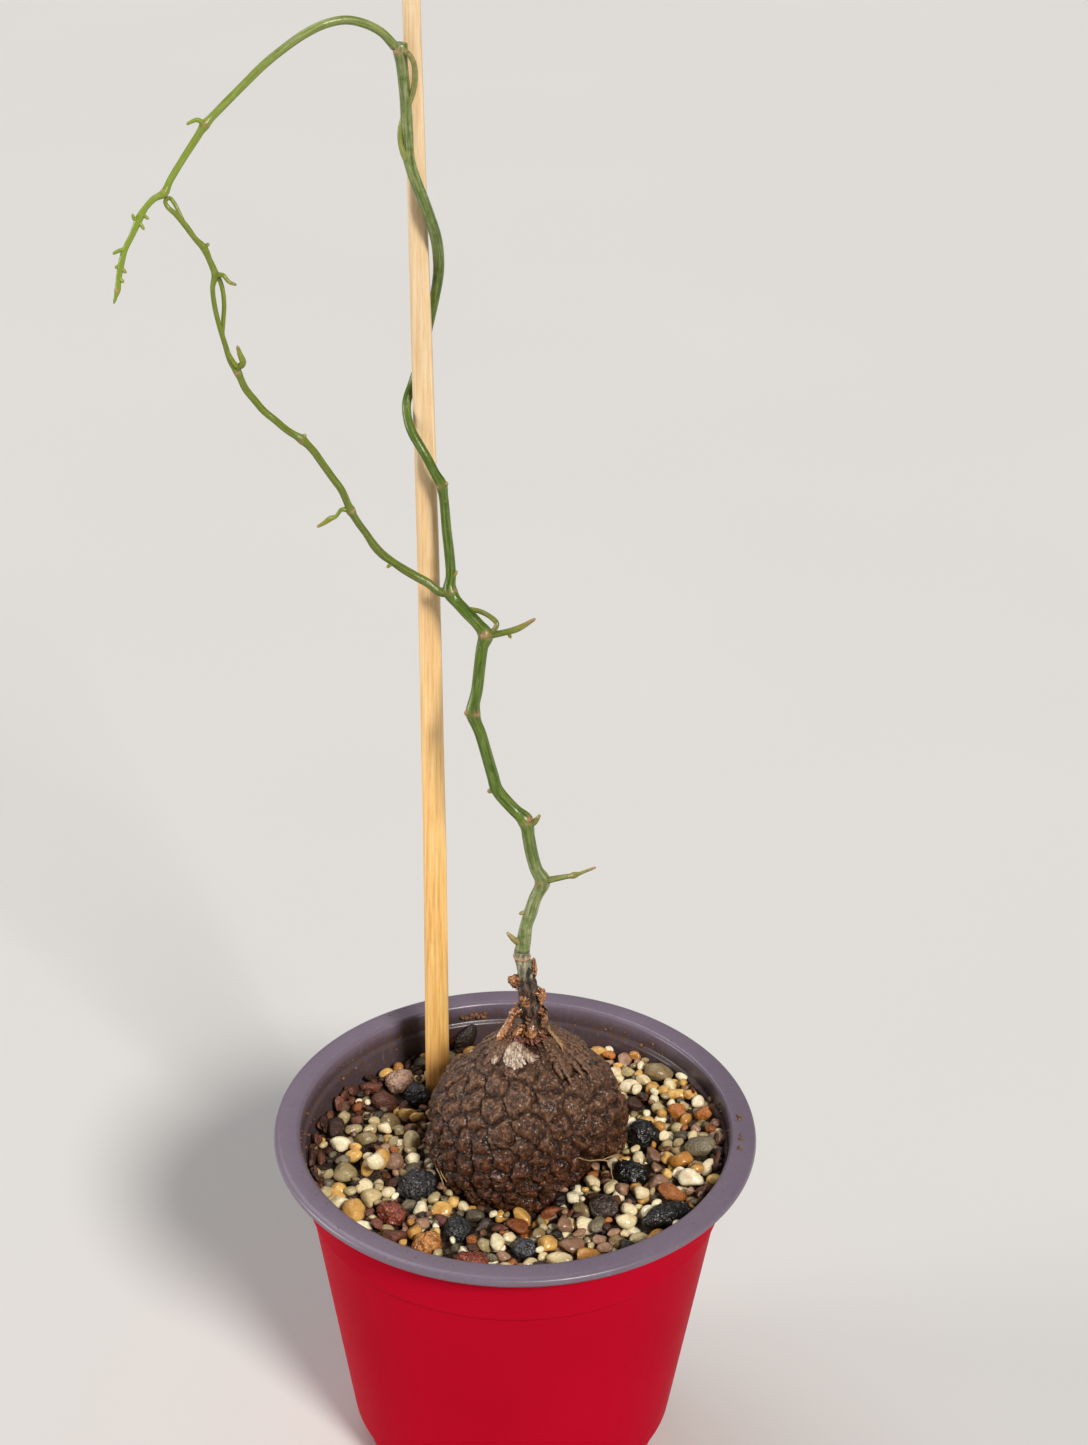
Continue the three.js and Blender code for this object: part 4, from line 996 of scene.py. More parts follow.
def crown_relief(directions, warp):
    """Long torn strips that overlap and run down from the stem: height, where they lie, and seams"""
    upward = directions[:, 2]
    turn = np.arctan2(directions[:, 1], directions[:, 0])
    run_out = np.arccos(np.clip(upward, -1, 1))
    wave = noise_at(np.stack([2 * np.cos(turn), 2 * np.sin(turn), 3 * run_out], 1), 1.0, 9.0, 2)
    strip = (turn * 23 / (2 * np.pi) + 0.9 * wave + 0.8 * run_out) % 1.0
    strands = np.stack([9 * np.cos(turn), 9 * np.sin(turn), 4 * run_out], 1)
    torn = 0.50 + 0.44 * strip - 0.30 * smoothstep(strip, 0.9, 1.0) + 0.26 * noise_at(strands, 1.0, 5.0, 3)
    back_left = smoothstep(-(directions @ np.array([0.62, -0.62, 0.0])), 0.05, 0.6)
    crown = smoothstep(upward + 0.05 * warp[:, 2], 0.84 - 0.20 * back_left, 0.93 - 0.14 * back_left)
    seam = np.exp(-(((strip - 0.97) / 0.05) ** 2)) * crown
    return torn, crown, seam


def caudex_relief(directions):
    """Relief of the cork from about 0 to 1, and how much each point lies in a crack or a seam"""
    random = np.random.default_rng(21)
    place = directions * CORK_SCALE
    warp = np.stack([noise_at(place, 3.0, seed, 3) for seed in (3.0, 17.0, 31.0)], 1)
    warped = unit(directions + 0.042 * warp)
    plate, edge = plate_relief(random, place, warped, warp)

    # Small lumps, strongest low down where the plates break up
    _, _, lump_edge = edge_distance(warped, unit(random.normal(size=(1100, 3))))
    low = smoothstep(-directions[:, 2], -0.30, 0.10)
    plate += (0.02 + 0.28 * low) * (smoothstep(lump_edge, 0.0, 0.55) - 0.6)

    torn, crown, seam = crown_relief(directions, warp)
    plate = (1 - crown) * plate + crown * torn
    broken = 0.25 + 0.75 * smoothstep(noise_at(place, 4.0, 12.0, 2), -0.35, 0.25)
    broken *= 1 - 0.85 * crown
    plate -= 0.12 * np.exp(-((edge / 0.2) ** 2)) * broken + 0.18 * seam
    # The crack mask, with the seams added to it, is darkened by the cork finish as painted shade
    crack = np.exp(-((edge / 0.14) ** 2)) * broken
    return 0.95 * plate - 0.1, np.clip(0.9 * crack + 0.5 * seam, 0, 1)


def ridges_of(relief, reach=3):
    """How far each point of the grid stands out from its surroundings, as 0 to 1"""
    span = 2 * reach + 1
    beside = relief.copy()
    for step in range(1, reach + 1):
        beside += np.roll(relief, step, 1) + np.roll(relief, -step, 1)
    padded = np.pad(beside / span, ((reach, reach), (0, 0)), "edge")
    smooth = sum(padded[k:k + len(relief)] for k in range(span)) / span
    return np.clip(0.5 + (relief - smooth) / 0.30, 0, 1)


def caudex():
    """The cork as a fine grid: wide rows where it is buried, narrow ones where it shows"""
    columns = 480
    tilts = np.concatenate([np.linspace(3.06, 2.2, 10), np.linspace(2.15, 0.10, 172)])
    tilt, turn = np.meshgrid(tilts, around(columns), indexing="ij")
    directions = np.stack([np.sin(tilt) * np.cos(turn), np.sin(tilt) * np.sin(turn), np.cos(tilt)], -1)
    directions = directions.reshape(-1, 3)
    relief, crack = caudex_relief(directions)
    # How far each point stands out; the cork finish paints highlight where it stands out and shade where it
    # sinks
    ridge = ridges_of(relief.reshape(len(tilts), columns)).ravel()
    skin = caudex_point(directions, PLATE_LIFT * relief).reshape(len(tilts), columns, 3)
    points, faces = capped_tube(skin)
    shape = Shape()
    shape.add(points, faces, crack=np.append(crack, [0, 0]), ridge=np.append(ridge, [0.5, 0.5]))
    shape.piece("caudex_cork", "corky_bark", [cork()], ["caudex"])


# A strip's section: share of its half width, and of its thickness
STRIP_SECTION = [
    (-1, 0), (-0.6, 0.5), (0, 0.7), (0.6, 0.5), (1, 0), (0.6, -0.5), (0, -0.3), (-0.6, -0.5),
]


def add_strip(shape, line, outward, thickness, curl, ragged, seed):
    """A thin curled strip along [x, y, z, half width] stations, facing outward or off the caudex"""
    stations = spline(line, 0.3)
    along = unit(np.gradient(stations[:, :3], axis=0))
    rings = []
    for (x, y, z, half), direction in zip(stations, along):
        here = np.array([x, y, z])
        facing = here - CAUDEX_CENTRE if outward is None else np.array(outward, float)
        across = unit(np.cross(direction, facing))
        facing = np.cross(across, direction)
        wander = [noise.fractal(Vector(here * 1.5 + (seed, 4.0 * k, 0)), 0.8, 2.0, 2) for k in range(4)]
        left, right = 1 + ragged * wander[0], 1 + ragged * wander[1]
        ring = []
        for u, v in STRIP_SECTION:
            width = half * u * (left if u < 0 else right)
            lift = v * thickness - curl * half * u * u + 0.5 * ragged * half * (wander[2] + u * wander[3])
            ring.append(here + across * width + facing * lift)
        rings.append(ring)
    points, faces = capped_tube(rings)
    pale = np.repeat(smoothstep(np.linspace(0, 1, len(rings)), 0.3, 1.0), len(STRIP_SECTION))
    shape.add(points, faces, pale=np.append(pale, [0, 1]))


def on_caudex(turn, z, lift):
    flat = math.sqrt(1 - z * z)
    direction = np.array([[flat * math.cos(math.radians(turn)), flat * math.sin(math.radians(turn)), z]])
    return caudex_point(direction, [lift])[0]


def down_caudex(turns, heights, lifts, widths):
    """Stations of a strip that lies on the caudex"""
    return [(*on_caudex(turn, z, lift), half) for turn, z, lift, half in zip(turns, heights, lifts, widths)]


def torn_patch():
    """Silvery torn skin below the stem: overlapping strips that fan out"""
    random = np.random.default_rng(4)
    shape = Shape()
    for i in range(15):
        share = i / 14
        top = -142 + 26 * share + random.normal(0, 2)
        foot = -122 + 50 * share + random.normal(0, 2.2)
        low = np.interp(foot, (-122, -99, -90, -72), (0.903, 0.893, 0.915, 0.95))
        low += random.normal(0, 0.008)
        turns = [top + (foot - top) * t for t in (0, 0.35, 0.75, 1)]
        heights = [0.99 + (low - 0.99) * t for t in (0, 0.35, 0.75, 1)]
        lifts = (1.5, 1.5 + random.uniform(0, 0.7), 1.5 + random.uniform(0, 0.7), 1.2)
        widths = random.uniform(0.8, 1.2) * np.array([0.3, 0.5, 0.75, 0.5])
        add_strip(shape, down_caudex(turns, heights, lifts, widths), None, 0.14, 0.6, 0.9, i)
    for i, (turn, z) in enumerate([(-145, 0.905), (-142, 0.90), (-139, 0.905)]):
        turns = [turn + k for k in range(3)]
        heights = (z, z - 0.022, z - 0.044)
        line = down_caudex(turns, heights, (1.5, 1.6, 1.5), (0.2, 0.5, 0.2))
        add_strip(shape, line, None, 0.14, 0.2, 0.3, 30 + i)
    shape.piece("torn_patch", "corky_bark", [torn_skin()])


def tan_strand():
    strand = Shape()
    for shift, lift, half in ((0, 2.3, 0.6), (7, 2.0, 0.4)):
        turns = [turn + shift for turn in (40, 14, -10, -20, -28)]
        heights = (0.955, 0.972, 0.954, 0.935, 0.915)
        widths = [half * k for k in (0.5, 1, 1, 0.7, 0.2)]
        add_strip(strand, down_caudex(turns, heights, [lift] * 5, widths), None, 0.35, 0.2, 0.35, shift)
    strand.piece("tan_strand", "corky_bark", [fibre("tan_strand", (104, 72, 42), (196, 158, 108))])


# Fans of torn strips round the stem: how many, first and last turn, lowest direction and swing
CROWN_FANS = ((20, -44, 64, 0.77, -12), (8, -184, -146, 0.86, 10), (18, 66, 172, 0.80, -8))


def crown_strips():
    """Long torn strips of old bark that run down over the crown from the stem's foot"""
    random = np.random.default_rng(31)
    shape = Shape()
    for count, first, last, lowest, swing in CROWN_FANS:
        for i in range(count):
            turn = first + (last - first) * (i + random.uniform(0, 1)) / count
            start = random.uniform(0.955, 0.985)
            low = lowest + random.normal(0, 0.05)
            turns = [turn + swing * t + random.normal(0, 1.2) for t in (0, 0.3, 0.7, 1)]
            heights = [start + (low - start) * t for t in (0, 0.2, 0.6, 1)]
            lift = random.uniform(1.2, 2.0)
            half = random.uniform(0.7, 1.5)
            widths = [half * k for k in (0.6, 1, 0.9, 0.3)]
            add_strip(shape, down_caudex(turns, heights, (lift, lift, lift, lift - 0.3), widths), None,
                      0.5, 0.35, 0.6, 3.0 * i)
    shape.piece("crown_strips", "corky_bark", [bark_strip()])


# Woody base: the old stem with knots, its papery scales, and the ring where the green part begins
WOODY_LINE = [
    (3.6, 4, 117.4, 2.3), (3.6, 4, 121, 2.4), (3.4, 4, 124, 2.2), (3.2, 4, 126.5, 2.6), (2.6, 4, 130, 2.3),
    (2.2, 4, 132.6, 2.6), (2.2, 4, 134.6, 2.2), (1.7, 4, 138, 1.95), (1.1, 4, 140.4, 2),
    (1, 4, 142.5, 1.85),
]
BARK_SCALES = [
    ((-1, -0.5), [(2, 3.2, 126.8, 0.9), (-1, 2.2, 126.2, 1.1), (-1.9, 1.8, 123.4, 1.2),
                  (-3.3, 1.3, 121.4, 1.2), (-4.3, 1, 119.6, 0.9), (-4.4, 0.9, 118.2, 0.5)]),
    ((1, -0.4), [(4.1, 3.7, 131.7, 0.7), (6, 3.4, 130.5, 1.1), (6.6, 3.3, 128.8, 1.2),
                 (6.2, 3.2, 127.6, 0.7)]),
    ((1, -0.5), [(4.7, 3.1, 126.4, 0.8), (7.3, 2.6, 125.3, 1.1), (7.4, 2.4, 123.5, 1),
                 (6.3, 2.3, 121.7, 0.5)]),
    ((-1, -0.2), [(1.6, 3.4, 133.2, 0.9), (-0.5, 3, 134, 1.2), (-2.1, 2.8, 134.5, 0.6)]),
    ((1, 0.1), [(3.4, 4, 133.6, 0.8), (4.4, 4, 136, 1), (4.3, 4, 138.6, 0.8), (3.9, 4, 140.3, 0.4)]),
    ((-0.2, -1), [(2.4, 2.4, 131.4, 0.8), (2.2, 1.5, 129.8, 1.3), (2.5, 1.4, 128, 1.1),
                  (2.9, 2, 126.6, 0.5)]),
    ((0.1, -1), [(3.7, 2.3, 122.8, 0.8), (3.7, 1.3, 121, 1.4), (3.8, 0.7, 119.4, 1.1)]),
    ((-0.6, -1), [(1.9, 2.8, 121.6, 0.7), (0.4, 1.7, 120.3, 0.8), (-0.8, 1, 119.5, 0.4)]),
    ((0.2, 1), [(2.8, 5.8, 130.6, 0.8), (3, 6.8, 127.8, 1.4), (3.2, 7.4, 124.4, 0.8)]),
    ((0.9, 0.7), [(4.4, 5.4, 126.4, 0.8), (6.2, 6.4, 124.6, 1.2), (7, 7, 122.4, 0.6)]),
    ((-0.9, 0.7), [(2.2, 5.4, 126.2, 0.8), (0.7, 6.4, 124.4, 1.2), (-0.2, 7, 122.2, 0.6)]),
]
RING_Z = 140.9


def woody_at(z):
    """Centre and radius of the woody base at a height"""
    line = np.array(WOODY_LINE)
    x, y, radius = (np.interp(z, line[:, 2], line[:, k]) for k in (0, 1, 3))
    return (x, y), radius


def woody_stem():
    stations = spline(WOODY_LINE, 0.22)
    sides = 56
    circle = circle_at(1, 0, around(sides))
    rings = []
    dry = []
    for x, y, z, radius in stations:
        centre = np.array([x, y, z])
        long_grain = noise_at(circle * 2.4 + (0, 0, 0.22 * z), 0.7, 5.0, 3)
        lumps = noise_at(circle * radius + centre, 1.4, 8.0, 2)
        calm = 1 - 0.85 * float(smoothstep(z, 134.2, 136.0))
        band = 0.10 * math.exp(-(((z - RING_Z) / 0.3) ** 2))
        band -= 0.08 * math.exp(-(((z - RING_Z + 0.9) / 0.3) ** 2))
        swell = 1 + calm * (0.10 * long_grain + 0.10 * lumps) + 0.03 * (1 - calm) * long_grain + band
        rings.append(centre + circle * (radius * swell)[:, None])
        dry.append(np.full(sides, math.exp(-(((z - RING_Z) / 0.4) ** 2))))
    points, faces = capped_tube(rings)
    shape = Shape()
    shape.add(points, faces, dry=np.append(np.concatenate(dry), [0, 1]))
    shape.piece("woody_stem", "papery_bark", [old_bark()], ["woody_base"])


def loose_flake(random):
    """A small flake that hangs off the woody stem: its line and the way that it faces"""
    z = random.uniform(119, 123) if random.random() < 0.7 else random.uniform(123, 135.5)
    turn = random.uniform(0, 2 * math.pi)
    (x, y), radius = woody_at(z)
    out = np.array([math.cos(turn), math.sin(turn), 0.0])
    side = np.array([-out[1], out[0], 0.0]) * random.normal(0, 0.5)
    length = random.uniform(1.2, 2.8)
    half = random.uniform(0.35, 0.8)
    start = np.array([x, y, z]) + out * (radius - 0.35)
    fall = random.choice([-1.0, -0.8, 0.5])
    bend = [start, start + (0.35 * out + 0.45 * side + (0, 0, 0.5 * fall)) * length,
            start + (0.5 * out + side + (0, 0, fall)) * length]
    return [(*point, half * share) for point, share in zip(bend, (0.8, 1.0, 0.3))], out + (0, 0, 0.2)


def papery_scales(random):
    """The part's curled scales, each as a few torn sheets, and many small flakes around the stem"""
    shape = Shape()
    for facing, line in BARK_SCALES:
        out = np.array([*facing, 0.25])
        for layer in range(3):
            shift = random.normal(0, 0.16, 3) * (layer > 0)
            torn = [(*(np.array(station[:3]) + shift), station[3] * random.uniform(0.9, 1.25))
                    for station in line]
            add_strip(shape, torn, out + random.normal(0, 0.2, 3), 0.16, 0.75, 0.4, 5.0 * layer)
    for _ in range(40):
        add_strip(shape, *loose_flake(random), 0.12, 0.6, 1.0, random.uniform(0, 50))
    shape.piece("papery_scales", "papery_bark", [papery_scale()])


def foot_fringe(random):
    """Short torn strips all round the stem's foot"""
    fringe = Shape()
    for i in range(30):
        turn = -180 + 12 * i + random.normal(0, 6)
        turns = [turn + random.normal(0, 7) for _ in range(3)]
        heights = (0.995, 0.988, random.uniform(0.962, 0.984))
        half = random.uniform(0.3, 0.8)
        widths = (half, 1.1 * half, 0.4 * half)
        lifts = (1.5, random.uniform(1.5, 2.3), random.uniform(1.3, 2.0))
        add_strip(fringe, down_caudex(turns, heights, lifts, widths), None, 0.14, 0.6, 1.1, 3.0 * i)
    fringe.piece("foot_fringe", "papery_bark", [foot_scale()])


# Vine: [x, y, z, radius] stations as in the part, thicker at each leaf joint
MAIN_LINE = [
    (1.1, 4, 142.5, 1.85), (1.5, 4.5, 145.5, 1.75), (2, 5, 149, 1.55), (3, 5.5, 152.5, 1.65),
    (4, 6, 156, 1.55), (5.7, 6.5, 160.5, 1.95), (4.2, 7, 163.4, 1.55), (3, 7.6, 167.5, 1.55),
    (2.2, 8.3, 171.5, 1.55), (1.4, 9, 175.7, 1.95), (-1.6, 10, 178.4, 1.5), (-5.5, 11, 183, 1.5),
    (-6.5, 11.6, 186.3, 1.45), (-8, 12.5, 191.5, 1.4), (-9.5, 13.5, 196.5, 1.4), (-11.3, 14.5, 201.5, 1.8),
    (-10.4, 16, 207, 1.4), (-9.9, 17, 212, 1.4), (-9.3, 18.2, 217, 1.4), (-8.6, 19, 219.6, 1.85),
    (-10.6, 20.4, 222, 1.4), (-13.5, 22, 224.4, 1.4), (-17, 24.5, 228, 1.8), (-16.9, 25.5, 232, 1.2),
    (-17.3, 26.5, 237, 1.2), (-17.9, 27.3, 242, 1.15), (-18.6, 27.9, 250, 1.1), (-19.2, 28, 253.5, 1.4),
    (-20.8, 27.8, 256.8, 1.1), (-22.2, 28, 259.6, 1.1), (-24.1, 29, 262.6, 1.1), (-25.9, 30.6, 265.2, 1.1),
    (-27.1, 33, 268, 1.05), (-27.3, 35.3, 270.8, 1.05), (-26, 38, 274.4, 1.1), (-24.2, 39.1, 280, 1.1),
    (-22.4, 39.3, 288, 1.15), (-20.9, 38.5, 295, 1.15), (-20, 36.8, 301, 1.25), (-19.9, 34.4, 306, 1.3),
    (-20.4, 32, 311, 1.3), (-21.7, 31, 315.6, 1.3), (-23.2, 30.6, 320, 1.3), (-24.9, 31.2, 324.2, 1.3),
    (-26.2, 31.8, 328.5, 1.3), (-26.4, 32, 333, 1.3), (-26.6, 32.1, 337, 1.3), (-26.8, 32.3, 341, 1.25),
    (-27.2, 32.5, 345.5, 1.25), (-27.6, 32.5, 349.5, 1.3), (-27.8, 32.5, 351.6, 1.65),
    (-27.7, 32.6, 353.2, 1.3),
]
MAIN_SPIKES = [
    [(1, 4.2, 144, 0.9), (-0.8, 3.2, 146, 0.75), (-2.6, 2.4, 148.5, 0.35)],
    [(2.8, 5.5, 152.8, 0.7), (0.2, 5, 152.2, 0.4)],
    [(5.8, 6.3, 160.7, 0.9), (11, 4.2, 163.3, 0.65), (13.2, 3.2, 164.4, 0.8), (18.2, 1, 168, 0.3)],
    [(1.6, 8.8, 175.2, 1), (3.3, 8.5, 175.6, 0.85), (4.9, 8, 178, 0.3)],
    [(-6, 11.2, 183, 0.8), (-7.7, 10.6, 182.5, 0.5)],
    [(-11.2, 14.4, 201.5, 1), (-13.3, 13.6, 201.9, 0.6)],
    [(-8.6, 19, 219.4, 0.9), (-4, 18.9, 220.5, 0.75), (-1, 18.8, 221.6, 0.75), (3, 18.8, 224.2, 0.35)],
    [(-3.4, 18.8, 220.6, 0.5), (-2.6, 18.4, 219.2, 0.35)],
    [(-16.8, 25.2, 230.6, 0.7), (-15.4, 24.6, 233.4, 0.35)],
    [(-19, 27.9, 253.4, 0.8), (-17.6, 27.2, 254.2, 0.45)],
]
MAIN_TWIGS = [
    [(-8.4, 19, 220, 0.6), (-6.4, 18.7, 221.4, 0.6), (-6, 19.2, 222.6, 0.65), (-7.4, 20.4, 223.6, 0.6),
     (-10, 22.2, 224.2, 0.6), (-13, 22.8, 224.5, 0.6)],
    [(-27.6, 32.3, 351.8, 0.8), (-26, 30.8, 351.3, 0.6), (-25, 30.6, 349.8, 0.6), (-24.6, 31, 347, 0.65),
     (-24.8, 31.4, 344.5, 0.65), (-25.6, 31.9, 341.5, 0.65), (-26.8, 32.2, 338.5, 0.65),
     (-27.9, 31.9, 335, 0.6), (-27.9, 31.2, 332, 0.6), (-27.2, 30.6, 329.5, 0.65), (-26.8, 30.4, 328, 0.35)],
]
ARCH_LINE = [
    (-28.9, 32.3, 352.4, 1.05), (-31.8, 31, 355.8, 0.95), (-35.5, 30, 357.8, 0.95),
    (-39.2, 29, 358.6, 0.95), (-43.4, 27.5, 358, 0.95), (-47.6, 26, 356.2, 0.95), (-51.8, 24, 353.6, 0.9),
    (-56, 22, 350.5, 0.9), (-60.2, 20, 346.7, 0.85), (-64.4, 18, 342.8, 0.85), (-68.1, 16, 339.2, 1.1),
    (-69.9, 15, 336.6, 0.8), (-72.9, 13, 332.3, 0.75), (-75.4, 11, 328.4, 0.75), (-76.5, 10, 326.2, 0.95),
    (-78.6, 9, 325.2, 0.7), (-80.4, 8, 323.4, 0.65), (-81.5, 7.5, 321.7, 0.85), (-83.2, 6.5, 318.1, 0.65),
    (-84.8, 5.5, 315.1, 0.65), (-85.7, 5, 312, 0.7), (-86.3, 4.4, 309, 0.6), (-86.6, 4, 306.8, 0.7),
    (-87.5, 3.5, 303.9, 0.3),
]
ARCH_SPIKES = [
    [(-68, 16, 339.2, 0.7), (-69.6, 15.4, 340.4, 0.5), (-71.8, 14.8, 339.6, 0.3)],
    [(-81.3, 7.6, 321.8, 0.5), (-82.6, 7, 321.4, 0.45), (-82.9, 6.6, 322.6, 0.3)],
    [(-81, 7.6, 322.2, 0.5), (-79.6, 7, 321.4, 0.3)],
    [(-81.8, 7.2, 320.8, 0.5), (-80.6, 6.6, 319.2, 0.3)],
    [(-84.6, 5.6, 315.3, 0.5), (-86, 5.2, 315, 0.45), (-87.3, 4.8, 314.4, 0.3)],
    [(-85.6, 5, 312, 0.5), (-87, 4.6, 311.4, 0.35)],
    [(-85.8, 4.9, 311.4, 0.5), (-84.6, 4.4, 310.4, 0.35)],
    [(-86.3, 4.4, 309.4, 0.5), (-85.2, 4, 308.4, 0.35)],
]
BRANCH_LINE = [
    (-17.4, 24.6, 227.8, 1.25), (-19.6, 24.6, 228, 1.05), (-22, 25.2, 229.7, 1.05),
    (-25, 25.4, 231.4, 1.05), (-28, 25, 233.5, 1), (-30.2, 24, 235.6, 0.9), (-32.4, 23, 237.8, 1),
    (-34.3, 22, 240.5, 1), (-36.1, 21, 244, 0.85), (-37.8, 20, 247.1, 0.85), (-39.4, 19, 250.6, 1.15),
    (-41.3, 18, 256, 0.85), (-43.1, 17.5, 259, 0.85), (-45.2, 17, 262.5, 0.85), (-47.3, 16.5, 266, 0.85),
    (-49.6, 16, 268.7, 1.1), (-52.9, 15.5, 271.2, 0.8), (-55.3, 15, 273.6, 0.8), (-57.8, 15, 275.8, 0.8),
    (-59.7, 14.5, 278.5, 0.8), (-61.6, 14, 281.4, 0.8), (-63.1, 13.5, 285.4, 0.95),
    (-64.4, 13, 287.8, 0.65), (-65.4, 12.4, 292, 0.6), (-66.6, 12.2, 297, 0.55), (-67.3, 12.2, 301, 0.55),
    (-67.5, 12.1, 305, 0.55), (-66.9, 12, 307.8, 0.75), (-67.8, 11.5, 311.2, 0.65), (-68.9, 11, 314.2, 0.8),
    (-70.5, 10.5, 316.2, 0.6), (-72.2, 10, 319, 0.65), (-74.3, 9.2, 322, 0.55), (-75.7, 8.8, 323.5, 0.5),
    (-76.3, 9.4, 324.4, 0.45), (-76.2, 10.9, 324.6, 0.45), (-75.6, 12.2, 324.4, 0.45),
    (-74.6, 11.8, 323.2, 0.45), (-73.4, 10.8, 321, 0.45), (-71.8, 10.2, 318, 0.5),
    (-69.6, 10.4, 315.4, 0.5), (-68, 11.4, 312, 0.5), (-66.8, 12.6, 308.6, 0.5), (-65.6, 12.8, 305, 0.5),
    (-65.3, 13, 301, 0.5), (-65.7, 13.2, 297, 0.5), (-65.9, 12.8, 293.5, 0.5), (-64.6, 12.4, 289.6, 0.5),
    (-62.9, 12.6, 286.6, 0.55),
]
BRANCH_SPIKES = [
    [(-39.4, 19, 250.6, 0.8), (-41.4, 18.2, 251, 0.5), (-42.6, 17.7, 249.6, 0.45),
     (-43.9, 17.2, 249.2, 0.65), (-45.3, 16.7, 248.3, 0.5), (-46.9, 16.2, 247.5, 0.3)],
    [(-49.6, 16, 268.7, 0.7), (-48.8, 15.6, 270.2, 0.4)],
    [(-30.2, 24, 235.6, 0.6), (-31.6, 23, 234.6, 0.35)],
    [(-63, 13.2, 286.4, 0.7), (-61.7, 12.4, 287.8, 0.75), (-62.2, 12, 290, 0.6), (-62.7, 11.8, 292, 0.3)],
    [(-66.6, 12, 307.8, 0.6), (-65.1, 11.6, 307.9, 0.5), (-63.8, 11.2, 306.6, 0.45), (-62.2, 11, 306, 0.3)],
    [(-68.8, 11, 314.2, 0.5), (-67.6, 10.6, 315.2, 0.35)],
]
JOINT_RISE = 0.22


def parted(line):
    """The line without its leaf joints' swelling, and each joint with how far it swells out"""
    calm = [list(station) for station in line]
    joints = []
    for i in range(1, len(line) - 1):
        level = (line[i - 1][3] + line[i + 1][3]) / 2
        if line[i][3] - level > JOINT_RISE:
            calm[i][3] = level
            joints.append((line[i], line[i][3] - level))
    return calm, joints


def add_stem(shape, line, sides, spacing, joint_length, dry_ends=(0, 0), young=(0, 0), grown_tip=False):
    """One stem along its stations, with short swellings and brown rings at its leaf joints"""
    calm, joints = parted(line)
    stations = spline(calm, spacing)
    centres = stations[:, :3]
    along = unit(np.gradient(centres, axis=0))
    run = np.concatenate([[0], np.cumsum(np.linalg.norm(np.diff(centres, axis=0), axis=1))])
    share = run / run[-1]
    angles = around(sides)
    radii = np.repeat(stations[:, 3:4], sides, axis=1)
    radii *= 1 + 0.022 * np.cos(5 * angles + 0.01 * run[:, None])
    dry = np.repeat((dry_ends[0] * (1 - share) + dry_ends[1] * share ** 4)[:, None], sides, axis=1)
    fresh = np.repeat((young[0] * (1 - share) + young[1] * share)[:, None], sides, axis=1)
    for (x, y, z, _), swell in joints:
        gap = np.linalg.norm(centres - (x, y, z), axis=1)[:, None]
        radii += swell * np.exp(-((gap / joint_length) ** 2))
        patchy = 0.55 + 0.45 * np.cos(2 * angles + x)
        dry = np.maximum(dry, patchy * np.exp(-((gap / (0.38 * joint_length)) ** 2)))
    if grown_tip:
        radii[-1] *= 0.4
    across = np.array([1, 0.15, 0.0])
    rings = []
    for centre, direction, radius in zip(centres, along, radii):
        across = across - direction * (across @ direction)
        across /= np.linalg.norm(across)
        beside = np.cross(direction, across)
        circle = np.cos(angles)[:, None] * across + np.sin(angles)[:, None] * beside
        rings.append(centre + circle * radius[:, None])
    points, faces = capped_tube(rings)
    shape.add(points, faces, dry=np.append(dry.ravel(), dry_ends), young=np.append(fresh.ravel(), young),
              along=np.append(np.repeat(run, sides), [0, run[-1]]),
              around=np.append(np.tile(np.abs(angles - np.pi), len(run)), [0, 0]))


def stem_piece(name, slot, node, look, *groups):
    """One grown piece of the vine, from groups of lines that share their settings"""
    shape = Shape()
    for lines, *settings in groups:
        for line in lines:
            add_stem(shape, line, *settings)
    shape.piece(name, slot, [look], [node])


def vine():
    stem = green_stem("main_stem_green", (42, 66, 4), (82, 106, 18), (172, 172, 132), (140, 152, 44))
    stem_piece("main_vine", "green_stem", "main_stem", stem,
               ([MAIN_LINE], 20, 0.7, 1.7),
               (MAIN_SPIKES[:2], 12, 0.3, 1.0, (0.75, 0.9), (0.0, 0.5), True),
               (MAIN_SPIKES[2:], 12, 0.3, 1.0, (0.1, 0.95), (0.0, 0.5), True),
               (MAIN_TWIGS, 12, 0.4, 1.0, (0.3, 0.1), (0.1, 0.35), True))
    stem = green_stem("arching_green", (56, 80, 22), (98, 122, 46), (152, 162, 104), (124, 144, 34))
    stem_piece("arching_vine", "young_stem", "arching_shoot", stem,
               ([ARCH_LINE], 14, 0.6, 1.1, (0.1, 0.0), (0.0, 0.9), True),
               (ARCH_SPIKES, 8, 0.25, 0.8, (0.05, 0.3), (0.7, 1.0), True))
    stem = green_stem("branch_green", (48, 70, 8), (90, 114, 26), (150, 158, 98), (124, 140, 26))
    stem_piece("branch_vine", "branch_stem", "side_branch", stem,
               ([BRANCH_LINE], 14, 0.5, 1.1, (0.1, 0.1), (0.0, 0.6), True),
               (BRANCH_SPIKES, 8, 0.25, 0.8, (0.1, 0.6), (0.3, 0.9), True))


# Stake: split bamboo, flat-sided with rounded edges and a few raised fibres
STAKE_LINE = [
    (-19.9, 27.7, 14, 3.5), (-20.4, 29.6, 84, 3.3), (-21, 31.3, 154, 3.05), (-22.4, 33.5, 237, 2.75),
    (-23.6, 34.9, 284, 2.55), (-24.2, 35.6, 307, 2.35), (-26, 37.8, 382, 1.95),
]
STAKE_OUTLINE = [
    (1, -0.45), (1, 0.2), (0.6, 0.72), (0, 0.86), (-0.6, 0.72), (-1, 0.2), (-1, -0.45), (-0.72, -0.8),
    (0, -0.88), (0.72, -0.8),
]
STAKE_SCAR = (-21.5, 31, 226.5)


